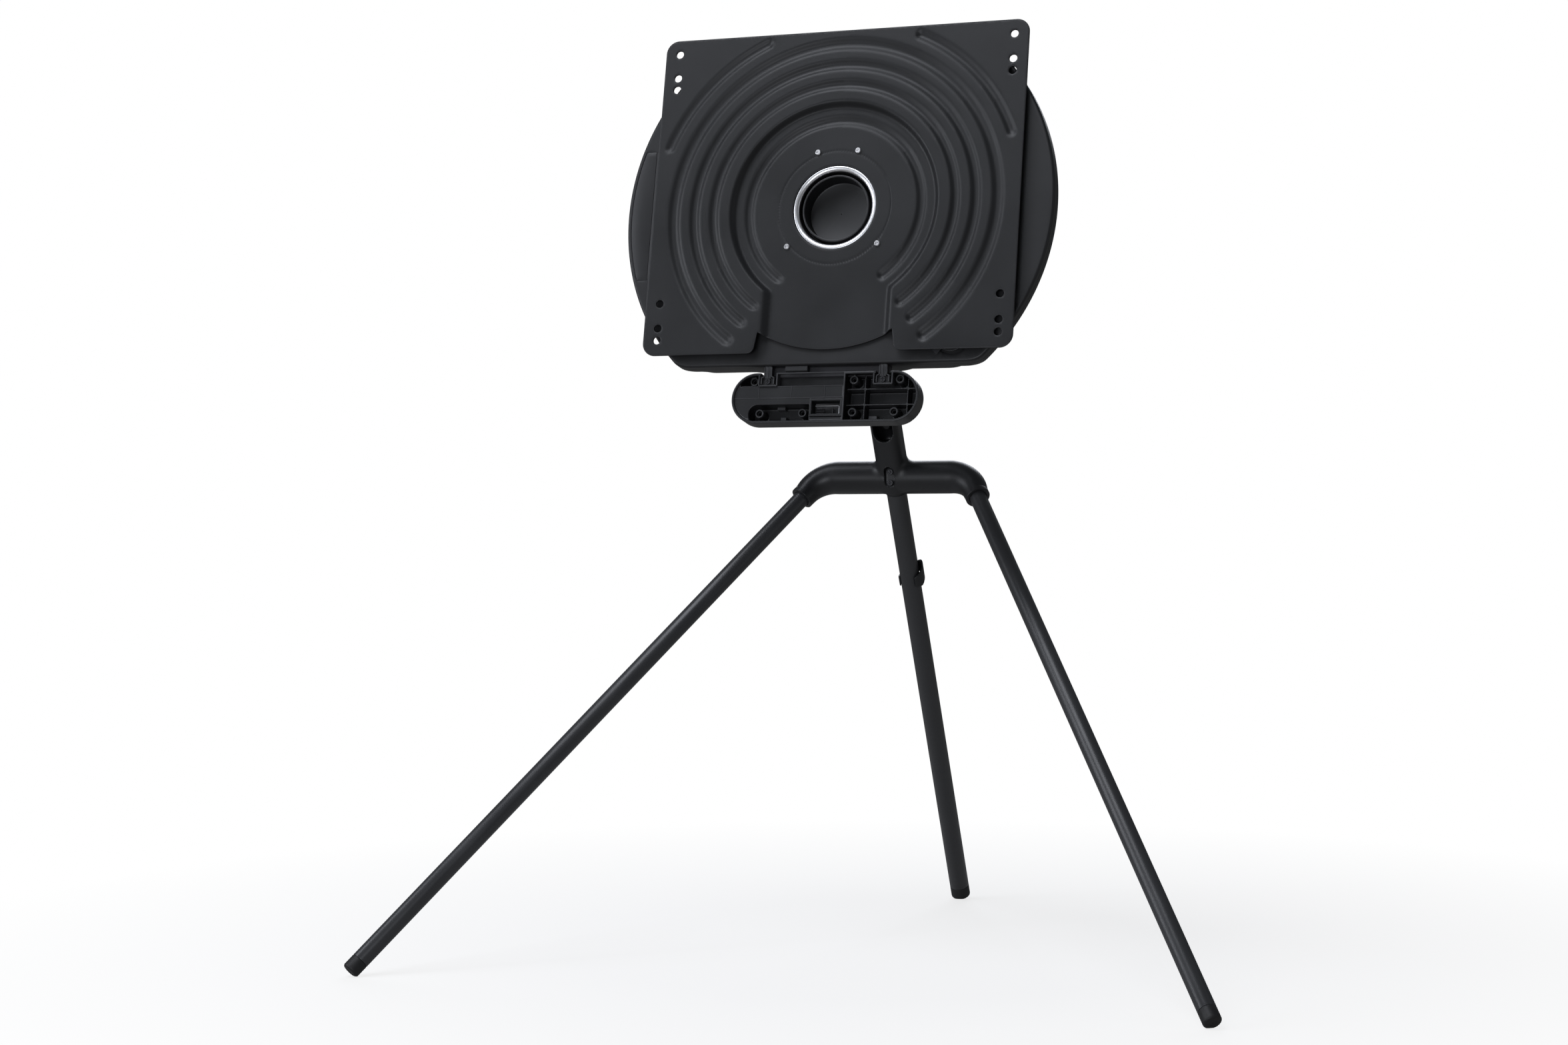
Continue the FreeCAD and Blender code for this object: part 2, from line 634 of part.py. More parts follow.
def dome(inset):
    """The space inside the rear cover's outline, turned about the rotor axis."""
    front = COVER_SPLIT - (1 if inset else 0)
    profile = [(0, front), (COVER_R - inset, front), (COVER_R - inset, RIM_BACK),
               (COVER_R - inset - RIM_RAMP, RIM_BACK + RIM_RAMP_DEPTH),
               (BACK_R + SHOULDER_R - inset, COVER_BACK - SHOULDER_DEPTH - inset),
               (BACK_R - inset, COVER_BACK - inset), (0, COVER_BACK - inset)]
    return turned(profile).common(cover_outline(inset, front, COVER_BACK + 5))


def housing_rear():
    body = dome(0).cut(dome(SKIN))
    body = body.multiFuse(cover_posts(CHASSIS_BACK + 3.2, COVER_BACK - 20, 6)
                          + bracket_posts(CHASSIS_BACK, COVER_BACK - 1, 8))
    body = body.common(dome(0).fuse(disc(BACK_R, COVER_SPLIT, COVER_BACK)))
    for hole in bracket_posts(CHASSIS_BACK - 1, COVER_BACK + 1, 3 + GAP):
        body = body.cut(hole)
    x0, x1, low, high = INLET_PLACE
    body = body.cut(block(x0 - 0.3, x1 + 0.3, COVER_BACK - 8, COVER_BACK + 1, low - 0.3, high + 0.3))
    return solid_of(body)


def bracket_posts(front, back, radius):
    posts = []
    for x in (-BRACKET_BOLT_X, BRACKET_BOLT_X):
        for rise in (HINGE_RISE - BRACKET_BOLT_RISE, HINGE_RISE + BRACKET_BOLT_RISE):
            posts.append(disc(radius, front, back, x, rise))
    return posts


def bracket_bolts():
    shanks = bracket_posts(CHASSIS_FRONT + 0.5, BRACKET_BACK, 3)
    heads = bracket_posts(BRACKET_BACK, BRACKET_BACK + 3.5, 5.5)
    sockets = bracket_posts(BRACKET_BACK + 1.5, BRACKET_BACK + 5, 2.5)
    bolts = []
    for shank, head, socket in zip(shanks, heads, sockets):
        bolts.append(shank.fuse(head).cut(socket).removeSplitter())
    return Part.makeCompound(bolts)


def chassis():
    body = disc(CHASSIS_R, CHASSIS_FRONT, CHASSIS_BACK)
    body = body.fuse(ring(OUTER_RACE_R + RUN, OUTER_RACE_R + SEAT_WALL, GEAR_BACK + 1.2,
                          CHASSIS_FRONT))
    body = body.cut(disc(RETAINER_R + 0.8, CHASSIS_FRONT - 1, CHASSIS_BACK + 1))
    body = body.cut(disc(9, CHASSIS_FRONT - 1, CHASSIS_BACK + 1, PINION_X))
    for hole in bracket_posts(CHASSIS_FRONT - 1, CHASSIS_BACK + 1, 3 + GAP):
        body = body.cut(hole)
    for hole in cover_posts(CHASSIS_FRONT - 1, CHASSIS_BACK + 1, 2 + GAP):
        body = body.cut(hole)
    for hole in cup_screw_pins(CHASSIS_FRONT - 1, CHASSIS_BACK + 1, 1.5 + GAP):
        body = body.cut(hole)
    for index in range(4):
        x, rise = polar(128, 90 * index + 45)
        body = body.cut(disc(17, CHASSIS_FRONT - 1, CHASSIS_BACK + 1, x, rise))
    return body


def chassis_screws():
    shanks = cover_posts(CHASSIS_FRONT - 13, CHASSIS_BACK, 2)
    heads = cover_posts(CHASSIS_BACK, CHASSIS_BACK + 3, 4)
    return Part.makeCompound([a.fuse(b).removeSplitter() for a, b in zip(shanks, heads)])


def cup_screw_pins(front, back, radius):
    pins = []
    for index in range(4):
        x, rise = polar(CUP_FLANGE_R - 3, 45 + 90 * index)
        pins.append(disc(radius, front, back, x, rise))
    return pins


def centre_cup():
    inner = CUP_R - CUP_WALL
    flange = SLEEVE_BACK + 1.5
    profile = [(0, CUP_FLOOR), (inner, CUP_FLOOR), (inner, CUP_RIM), (CUP_R, CUP_RIM),
               (CUP_R, flange), (CUP_FLANGE_R - 6, flange), (CUP_FLANGE_R - 6, CHASSIS_BACK),
               (CUP_FLANGE_R, CHASSIS_BACK), (CUP_FLANGE_R, flange + CUP_WALL),
               (inner, flange + CUP_WALL), (inner, CUP_FLOOR + CUP_WALL),
               (0, CUP_FLOOR + CUP_WALL)]
    body = turned(profile)
    for hole in cup_screw_pins(CHASSIS_BACK - 1, flange + CUP_WALL + 1, 1.5 + GAP):
        body = body.cut(hole)
    return body


def cup_screws():
    back = SLEEVE_BACK + 1.5 + CUP_WALL
    shanks = cup_screw_pins(CHASSIS_FRONT + 0.5, back, 1.5)
    heads = cup_screw_pins(back, back + 2, 2.8)
    return Part.makeCompound([a.fuse(b).removeSplitter() for a, b in zip(shanks, heads)])


def gearbox():
    x0, x1 = PINION_X - GEARBOX_NEAR, PINION_X + GEARBOX_FAR
    body = rounded_block(x0, x1, CHASSIS_BACK, CHASSIS_BACK + GEARBOX_DEPTH,
                         -GEARBOX_HALF, GEARBOX_HALF, 8)
    return body.cut(disc(SHAFT_R + RUN, CHASSIS_BACK - 1, CHASSIS_BACK + 8.5, PINION_X))


def drive_motor():
    front = CHASSIS_BACK + GEARBOX_DEPTH
    back = front + MOTOR_LENGTH
    can = disc(MOTOR_R, front, back, PINION_X + 4)
    return can.fuse(disc(6, back, back + 2, PINION_X + 4)).removeSplitter()


def control_board():
    x0, x1, low, high = BOARD_PLACE
    return block(x0, x1, CHASSIS_BACK + BOARD_STANDOFF, board_face(), low, high)


def board_face():
    return CHASSIS_BACK + BOARD_STANDOFF + BOARD_SHEET


def board_posts(front, back, radius):
    x0, x1, low, high = BOARD_PLACE
    return [disc(radius, front, back, x, rise) for x in (x0 + 4, x1 - 4)
            for rise in (low + 4, high - 4)]


def board_chips():
    face = board_face()
    chips = [block(-124, -104, face, face + 2.2, 8, 28), block(-98, -84, face, face + 9, -38, -14),
             block(-124, -108, face, face + 12, -38, -22), block(-98, -86, face, face + 3, 10, 22)]
    return Part.makeCompound(chips)


def limit_switches():
    made = []
    for angle in (200 - 7.5, 290 + 7.5):
        box = block(76, 87, GEAR_BACK + 1, CHASSIS_FRONT, -3, 3)
        box.rotate(V(0, 0, 0), V(0, -1, 0), angle)
        made.append(box)
    return Part.makeCompound(made)


def power_inlet():
    x0, x1, low, high = INLET_PLACE
    body = block(x0, x1, COVER_BACK - 14, COVER_BACK, low, high)
    lip = block(x0 - 2, x1 + 2, COVER_BACK, COVER_BACK + 1.5, low - 2, high + 2)
    well = block(x0 + 3, x1 - 3, COVER_BACK - 9, COVER_BACK + 3, low + 3, high - 3)
    pins = [disc(1.2, COVER_BACK - 9.5, COVER_BACK - 2, x, (low + high) / 2)
            for x in (x0 + 9, x1 - 9)]
    return join([body.fuse(lip).cut(well)] + pins)


def tilt_bracket():
    half_width = BRACKET_BOLT_X + 12
    half_height = BRACKET_BOLT_RISE + 12
    base = rounded_block(-half_width, half_width, COVER_BACK, BRACKET_BACK,
                         HINGE_RISE - half_height, HINGE_RISE + half_height, 10)
    inner = NECK_WIDTH / 2 + FRICTION_WASHER + 0.3
    body = base
    for side in (-1, 1):
        x0, x1 = sorted((side * inner, side * (inner + EAR)))
        ear = block(x0, x1, BRACKET_BACK - 1, HINGE_DEPTH, HINGE_RISE - EAR_R, HINGE_RISE + EAR_R)
        tip = Part.makeCylinder(EAR_R, EAR, V(x0, HINGE_DEPTH, HINGE_RISE), V(1, 0, 0))
        body = body.fuse(ear).fuse(tip)
    body = body.cut(hinge_pin(HINGE_PIN_R + GAP, -100, 100))
    for hole in bracket_posts(COVER_BACK - 1, BRACKET_BACK + 1, 3 + GAP):
        body = body.cut(hole)
    return body.removeSplitter()


def hinge_pin(radius, x0, x1):
    return Part.makeCylinder(radius, x1 - x0, V(x0, HINGE_DEPTH, HINGE_RISE), V(1, 0, 0))


def hexagon(x0, x1, across):
    points = []
    for index in range(7):
        angle = math.radians(60 * index)
        points.append(V(x0, HINGE_DEPTH + across / math.sqrt(3) * math.cos(angle),
                        HINGE_RISE + across / math.sqrt(3) * math.sin(angle)))
    return Part.Face(Part.makePolygon(points)).extrude(V(x1 - x0, 0, 0))


def bracket_outside():
    return NECK_WIDTH / 2 + FRICTION_WASHER + 0.3 + EAR


def tilt_bolt():
    outside = bracket_outside()
    return hinge_pin(HINGE_PIN_R, -outside, outside + 9).fuse(hexagon(-outside - 5, -outside, 18))


def tilt_nut():
    outside = bracket_outside()
    return hexagon(outside, outside + 7, 18).cut(hinge_pin(HINGE_PIN_R + GAP, 0, 100))


def friction_washers():
    inner = NECK_WIDTH / 2 + 0.25
    outer = inner + FRICTION_WASHER
    made = []
    for x0 in (-outer, inner):
        disc_shape = hinge_pin(15, x0, x0 + FRICTION_WASHER)
        made.append(disc_shape.cut(hinge_pin(HINGE_PIN_R + GAP, -50, 50)))
    return Part.makeCompound(made)


# ---------------------------------------------------------------- accessory tray
def pill(inset, front, back):
    half_w = TRAY_WIDTH / 2 - inset
    half_h = TRAY_HEIGHT / 2 - inset
    body = block(TRAY_X - half_w, TRAY_X + half_w, front, back, TRAY_RISE - half_h,
                 TRAY_RISE + half_h)
    return body.makeFillet(half_h - 0.01, depth_edges(body))


def tray_floor():
    return TRAY_BACK - TRAY_WALL


def tray_ribs():
    """Ribs on the deep side's floor: (x0, x1, low, high) beside the tray's own middle."""
    side = TRAY_HEIGHT / 2
    right = TRAY_WIDTH / 2
    ribs = [(x, x + RIB, -side, side) for x in RIB_XS]
    ribs += [(DIVIDER_X, right, rise, rise + RIB) for rise in RIB_RISES]
    return ribs


def tray_pockets():
    """What is sunk into the shallow side's shelf, with each pocket's back."""
    half = TRAY_HEIGHT / 2
    edge = DIVIDER_X - TRAY_X - RIB
    inside = pill(TRAY_WALL, TRAY_FRONT - 1, tray_floor())
    top_open = block(TRAY_X - 59, TRAY_X + edge, TRAY_FRONT - 1, TRAY_FRONT + 12,
                     TRAY_RISE + 14, TRAY_RISE + half + 1)
    corner = block(TRAY_X - 100, TRAY_X - 79, TRAY_FRONT - 1, tray_floor(),
                   TRAY_RISE + 14, TRAY_RISE + half).common(inside)
    x0 = connector_place()[0]
    lower = rounded_block(TRAY_X - 88.5, x0 + 20, TRAY_FRONT - 1, tray_floor(),
                          TRAY_RISE - half, TRAY_RISE - 7.5, 10).common(inside)
    lower = lower.cut(block(x0 - 0.5, x0 + 21, TRAY_FRONT - 2, TRAY_BACK, TRAY_RISE - half,
                            TRAY_RISE))
    return [top_open, corner, lower]


def shelf_seams():
    """Fine grooves that divide the shallow side's shelf: (x0, x1, low, high)."""
    edge = DIVIDER_X - RIB
    half = SEAM / 2
    levels = [(TRAY_X - TRAY_WIDTH / 2, edge, -half, half), (-77, -59, 14.5 - SEAM, 14.5)]
    uprights = [(x - half, x + half, 0, 14) for x in SEAM_XS]
    return [(x0, x1, TRAY_RISE + low, TRAY_RISE + high) for x0, x1, low, high in levels + uprights]


def tray_bosses():
    """Screw bosses on the floor: (x, rise)."""
    upper, lower = TRAY_RISE + 20.5, TRAY_RISE - 16.5
    left = TRAY_X - TRAY_WIDTH / 2 + BOSS_INSET
    right = TRAY_X + TRAY_WIDTH / 2 - BOSS_INSET
    return [(left, upper), (32.6, upper), (right, upper), (left + 8.5, lower), (-25.8, lower),
            (32.6, lower), (right - 5, lower)]


def accessory_tray():
    body = pill(0, TRAY_FRONT, TRAY_BACK)
    body = body.makeFillet(TRAY_BACK_ROUND, front_face_edges(body, TRAY_BACK))
    inside = pill(TRAY_WALL, TRAY_FRONT - 1, tray_floor())
    low, high = TRAY_RISE - TRAY_HEIGHT, TRAY_RISE + TRAY_HEIGHT
    deep = block(DIVIDER_X, TRAY_X + TRAY_WIDTH, TRAY_FRONT - 1, TRAY_BACK, low, high)
    shallow = block(TRAY_X - TRAY_WIDTH, DIVIDER_X - RIB, TRAY_FRONT - 1,
                    TRAY_FRONT + SHELF_DEPTH, low, high)
    body = body.cut(deep.common(inside)).cut(shallow.common(inside))
    for pocket in tray_pockets():
        body = body.cut(pocket)
    for x0, x1, bottom, top in shelf_seams():
        groove = block(x0, x1, TRAY_FRONT, TRAY_FRONT + SHELF_DEPTH + SEAM, bottom, top)
        body = body.cut(groove.common(inside))
    added = [block(x0, x1, TRAY_FRONT + RIB_DEPTH, TRAY_BACK - 1, TRAY_RISE + bottom,
                   TRAY_RISE + top) for x0, x1, bottom, top in tray_ribs()]
    added += [disc(BOSS_R, TRAY_FRONT + BOSS_DEPTH, TRAY_BACK - 1, x, rise)
              for x, rise in tray_bosses()]
    body = body.multiFuse([piece.common(inside.fuse(pill(1, tray_floor() - 1, TRAY_BACK - 1)))
                           for piece in added])
    for x, rise in tray_bosses():
        body = body.cut(disc(BOSS_BORE_R, TRAY_FRONT, TRAY_BACK - 4, x, rise))
    x0, x1, low, high = connector_place()
    body = body.cut(block(x0 - 0.2, x1 + 0.2, TRAY_FRONT - 1, tray_floor(), low - 0.2, high + 0.2))
    for x in hook_places():
        body = body.cut(block(x - HOOK_HALF - 0.3, x + HOOK_HALF + 0.3, TRAY_FRONT - 1,
                              TRAY_FRONT + 10.2, HOOK_LOW - 0.3, high + TRAY_HEIGHT))
    return solid_of(body)


def connector_place():
    return DIVIDER_X - RIB - 38.6, DIVIDER_X - RIB - 0.4, TRAY_RISE - 21.5, TRAY_RISE - 1.5


def connector_frame():
    x0, x1, low, high = connector_place()
    body = block(x0, x1, TRAY_FRONT + 0.6, tray_floor(), low, high)
    window = block(x0 + 2.5, x1 - 2.5, TRAY_FRONT - 1, tray_floor() - 8, low + 2.5, high - 2.5)
    return body.cut(window)


def connector_contacts():
    """A plug's socket in the connector's window: a shield with three bars and a key."""
    x0, x1, low, high = connector_place()
    back = tray_floor() - 8
    shield = block(x0 + 7, x1 - 5, back - 7, back, low + 3.5, high - 6)
    shield = shield.cut(block(x0 + 7.8, x1 - 5.8, back - 8, back - 1, low + 4.3, high - 6.8))
    bars = []
    for index in range(3):
        rise = low + 5.4 + 2.6 * index
        bars.append(block(x0 + 8.5, x0 + 19, back - 5, back - 1, rise, rise + 1.0))
    bars.append(block(x0 + 25, x0 + 26.5, back - 5, back - 1, low + 5.4, low + 11.6))
    return join([shield] + bars)


def hook_places():
    return TRAY_X - HOOK_X, TRAY_X + HOOK_X


def hook_clips():
    """Two T-shaped clips that hang the tray from the housing's lower edge."""
    front = TRAY_FRONT - 0.5
    back = TRAY_FRONT + 10
    clips = []
    for x in hook_places():
        stem = block(x - 3.5, x + 3.5, front, back, HOOK_LOW + 7.5, -COVER_HALF_HEIGHT)
        foot = block(x - HOOK_HALF, x + HOOK_HALF, front + 2, back, HOOK_LOW, HOOK_LOW + 9)
        body = stem.fuse(foot).cut(disc(1.8 + GAP, front, back + 8, x, HOOK_LOW + 4))
        clips.append(body.removeSplitter())
    return Part.makeCompound(clips)


def hook_screws():
    front = TRAY_FRONT + 1.5
    middle = HOOK_LOW + 4
    screws = []
    for x in hook_places():
        head = disc(3.2, front - 2, front, x, middle)
        head = head.cut(block(x - 2.2, x + 2.2, front - 3, front - 1, middle - 0.4, middle + 0.4))
        head = head.cut(block(x - 0.4, x + 0.4, front - 3, front - 1, middle - 2.2, middle + 2.2))
        shank = disc(1.8, front, front + 8.4, x, middle)
        screws.append(head.fuse(shank).removeSplitter())
    return Part.makeCompound(screws)


# ---------------------------------------------------------------- stand
def rod(start, direction, length, radius):
    return Part.makeCylinder(radius, length, start, direction)


def mirrored(shape):
    return shape.mirror(V(0, 0, 0), V(1, 0, 0))


def elbow():
    """From the bar's end round to the socket's mouth, narrowing on the way."""
    bend = math.acos(LEG_DIR.x)
    tangent = BEND_R * math.tan(bend / 2)
    corner = V(ELBOW_X, BAR_Y, BAR_Z)
    start = corner - V(1, 0, 0) * tangent
    inward = (LEG_DIR - V(1, 0, 0) * LEG_DIR.x).normalize()
    centre = start + inward * BEND_R
    stations = []
    steps = 6
    for index in range(steps + 1):
        angle = bend * index / steps
        point = centre - inward * BEND_R * math.cos(angle) + V(1, 0, 0) * BEND_R * math.sin(angle)
        heading = V(1, 0, 0) * math.cos(angle) + inward * math.sin(angle)
        share = index / (steps + 1)
        stations.append((point, heading, BAR_R + (SOCKET_R - BAR_R) * share ** 1.3))
    stations.append((SOCKET, LEG_DIR, SOCKET_R))
    wires = [Part.Wire(Part.makeCircle(r, p, n)) for p, n, r in stations]
    return Part.makeLoft(wires, True), start.x


def neck_section(low, high):
    """The neck's rounded square, as a bar along the neck's line."""
    half = NECK_WIDTH / 2
    bar = Part.makeBox(NECK_WIDTH, NECK_WIDTH, high - low, V(-half, -half, low))
    upright = [e for e in bar.Edges if abs(e.Vertexes[0].X - e.Vertexes[1].X) < 1e-6
               and abs(e.Vertexes[0].Y - e.Vertexes[1].Y) < 1e-6]
    bar = bar.makeFillet(NECK_CORNER, upright)
    bar.Placement = neck_place()
    return bar


def neck_place():
    return FreeCAD.Placement(BAR_MIDDLE, FreeCAD.Rotation(V(1, 0, 0), NECK_LEAN))


def hub():
    arm, bar_end = elbow()
    bar = rod(V(-bar_end, BAR_Y, BAR_Z), V(1, 0, 0), 2 * bar_end, BAR_R)
    flange = rod(on_neck(-FLANGE_DROP), NECK_DIR, FLANGE_DROP, FLANGE_R)
    neck = neck_section(0, NECK_TOP)
    body = bar.multiFuse([arm, mirrored(arm), neck, flange])
    socket = rod(SOCKET + LEG_DIR, LEG_DIR * -1, SOCKET_DEPTH + 1, FRONT_LEG_R + GAP)
    mouth = rod(SOCKET + LEG_DIR, LEG_DIR * -1, 6, FRONT_LEG_R + SOCKET_GAP)
    bore = rod(on_neck(SLOT_BOTTOM - 12), NECK_DIR, NECK_TOP, NECK_BORE_R)
    rear_socket = rod(on_neck(REAR_SOCKET_TOP), NECK_DIR * -1, 60, REAR_LEG_R + GAP)
    body = body.cut(socket).cut(mirrored(socket)).cut(mouth).cut(mirrored(mouth))
    body = body.cut(bore).cut(rear_socket).cut(neck_slot()).cut(screw_well())
    for screw in hub_screw_pins(HUB_SCREW_R + GAP):
        body = body.cut(screw)
    post = rod(on_neck(POST_ALONG) + NECK_FRONT * POST_FRONT, NECK_FRONT * -1,
               POST_FRONT + NECK_BORE_R + 1, POST_R)
    return solid_of(body.fuse(post))


def neck_slot():
    """The rounded cable slot through the neck's front wall."""
    half = SLOT_WIDTH / 2
    low = SLOT_BOTTOM + half
    high = SLOT_TOP - half
    slot = Part.makeBox(SLOT_WIDTH, NECK_WIDTH, high - low, V(-half, -NECK_WIDTH, low))
    for along in (low, high):
        slot = slot.fuse(Part.makeCylinder(half, NECK_WIDTH, V(0, -NECK_WIDTH, along), V(0, 1, 0)))
    slot.Placement = neck_place()
    return slot


def screw_well():
    """The upright rounded recess in the bar's front that holds two screws."""
    half = WELL_HALF
    reach = HUB_SCREW_PITCH / 2
    well = Part.makeBox(2 * half, 30, 2 * reach, V(-half, -30, -reach))
    for rise in (-reach, reach):
        well = well.fuse(Part.makeCylinder(half, 30, V(0, -30, rise), V(0, 1, 0)))
    well.Placement = FreeCAD.Placement(BAR_MIDDLE + V(0, WELL_DEPTH - BAR_R, 0), FreeCAD.Rotation())
    return well


def hub_screw_pins(radius):
    pins = []
    for rise in (-HUB_SCREW_PITCH / 2, HUB_SCREW_PITCH / 2):
        start = BAR_MIDDLE + V(0, WELL_DEPTH - BAR_R, rise)
        pins.append(rod(start, V(0, 1, 0), HUB_SCREW_GRIP, radius))
    return pins


def hub_screws():
    screws = []
    face = BAR_Y + WELL_DEPTH - BAR_R
    for shank in hub_screw_pins(HUB_SCREW_R):
        middle = shank.BoundBox.Center.z
        head = rod(V(0, face, middle), V(0, -1, 0), HUB_SCREW_HEAD, HUB_SCREW_HEAD_R)
        for wide, tall in ((2.1, 0.45), (0.45, 2.1)):
            head = head.cut(Part.makeBox(2 * wide, HUB_SCREW_HEAD, 2 * tall,
                                         V(-wide, face - HUB_SCREW_HEAD - 1, middle - tall)))
        screws.append(head.fuse(shank).removeSplitter())
    return Part.makeCompound(screws)


def mast():
    body = neck_section(NECK_TOP, MAST_TOP)
    body = body.fuse(rod(on_neck(NECK_TOP - SPIGOT), NECK_DIR, SPIGOT + 1, NECK_BORE_R - GAP))
    bore = rod(on_neck(NECK_TOP - SPIGOT - 1), NECK_DIR, MAST_TOP, NECK_BORE_R - 3)
    wide = rod(on_neck(NECK_TOP + MAST_STEP), NECK_DIR, MAST_TOP, NECK_BORE_R)
    return body.cut(bore).cut(wide)


def tilt_knuckle():
    half = NECK_WIDTH / 2
    block_r = half - 0.8
    eye = Part.makeCylinder(block_r, NECK_WIDTH, HINGE - V(half, 0, 0), V(1, 0, 0))
    trim = Part.makeBox(NECK_WIDTH, 2 * block_r, 100, V(-half, -block_r, 0))
    trim.Placement = neck_place().multiply(FreeCAD.Placement(V(0, 0, MAST_TOP - 10),
                                                             FreeCAD.Rotation()))
    upper = neck_section(MAST_TOP + 6, HINGE_ALONG).common(trim)
    body = neck_section(MAST_TOP, MAST_TOP + 6).fuse(upper).fuse(eye)
    body = body.fuse(rod(on_neck(MAST_TOP - SPIGOT), NECK_DIR, SPIGOT + 1, NECK_BORE_R - GAP))
    pin = Part.makeCylinder(HINGE_PIN_R + RUN, 100, HINGE - V(50, 0, 0), V(1, 0, 0))
    return solid_of(body.cut(pin).removeSplitter())


def leg(start, end_point, radius):
    direction = (end_point - start).normalize()
    length = (end_point - start).Length - CAP_LENGTH
    tube = rod(start, direction, length, radius)
    return tube.cut(rod(start - direction, direction, length + 2, radius - LEG_WALL))


def foot(start, end_point, radius):
    """A rubber cap on a leg's end: a stem in the tube, a rounded rim, and a flat to stand on."""
    direction = (end_point - start).normalize()
    cap = rod(end_point - direction * CAP_LENGTH, direction, CAP_LENGTH, radius)
    tip = [e for e in cap.Edges if (e.CenterOfMass - end_point).Length < 0.1]
    cap = cap.makeFillet(CAP_ROUND, tip)
    stem = rod(end_point - direction * (CAP_LENGTH + CAP_STEM), direction, CAP_STEM + 1,
               radius - LEG_WALL - GAP)
    body = cap.fuse(stem).removeSplitter()
    ground = Part.makeBox(2000, 2000, 50, V(-1000, -1000, -50))
    return solid_of(body.cut(ground))


def socket_plug(start, direction, radius):
    """A threaded plug in a tube's upper end, which its socket's bolt pulls on."""
    plug = rod(start, direction, 24, radius - LEG_WALL - GAP)
    return plug.cut(rod(start - direction, direction, 20, 3))


def clip_place():
    return FreeCAD.Placement(on_neck(-CLIP_PLACE), FreeCAD.Rotation(V(1, 0, 0), NECK_LEAN))


def cable_clip():
    """A sprung band round the rear leg, open at the front, that stands off on one side."""
    half = CLIP_HEIGHT / 2
    inner = REAR_LEG_R + CLIP_FIT

    def cylinder_pair(radius, reach):
        base = Part.makeCylinder(radius, 2 * reach, V(0, 0, -reach))
        side = Part.makeCylinder(radius, 2 * reach, V(CLIP_OFFSET_X, CLIP_OFFSET_Y, -reach))
        return base.fuse(side)

    band = cylinder_pair(inner + CLIP_WALL, half).cut(cylinder_pair(inner, half + 1))
    mouth = Part.makeBox(30 + CLIP_TONGUE_X, 30, 4 * half, V(-30, -30 - CLIP_LIP, -2 * half))
    band = band.cut(mouth)
    reach = 60.0
    upper = [(-reach, -2), (-14, -2), (20, half + 4), (reach, 2 * half), (-reach, 2 * half)]
    over = Part.Face(Part.makePolygon([V(x, -reach, z) for x, z in upper + upper[:1]]))
    band = band.cut(over.extrude(V(0, 2 * reach, 0)))
    tongue_top = [(-reach, -1 - reach * 0.4), (-12, -1), (8, half), (-reach, 3 * half)]
    slope = Part.Face(Part.makePolygon([V(0, y, z) for y, z in tongue_top + tongue_top[:1]]))
    band = band.cut(slope.extrude(V(reach, 0, 0)))
    under = [(-6, -half - 1), (reach, -half - 1), (reach, half), (12, -4)]
    low = Part.Face(Part.makePolygon([V(0, y, z) for y, z in under + under[:1]]))
    band = solid_of(band.cut(low.extrude(V(reach, 0, 0))).removeSplitter())
    band.Placement = clip_place()
    return band


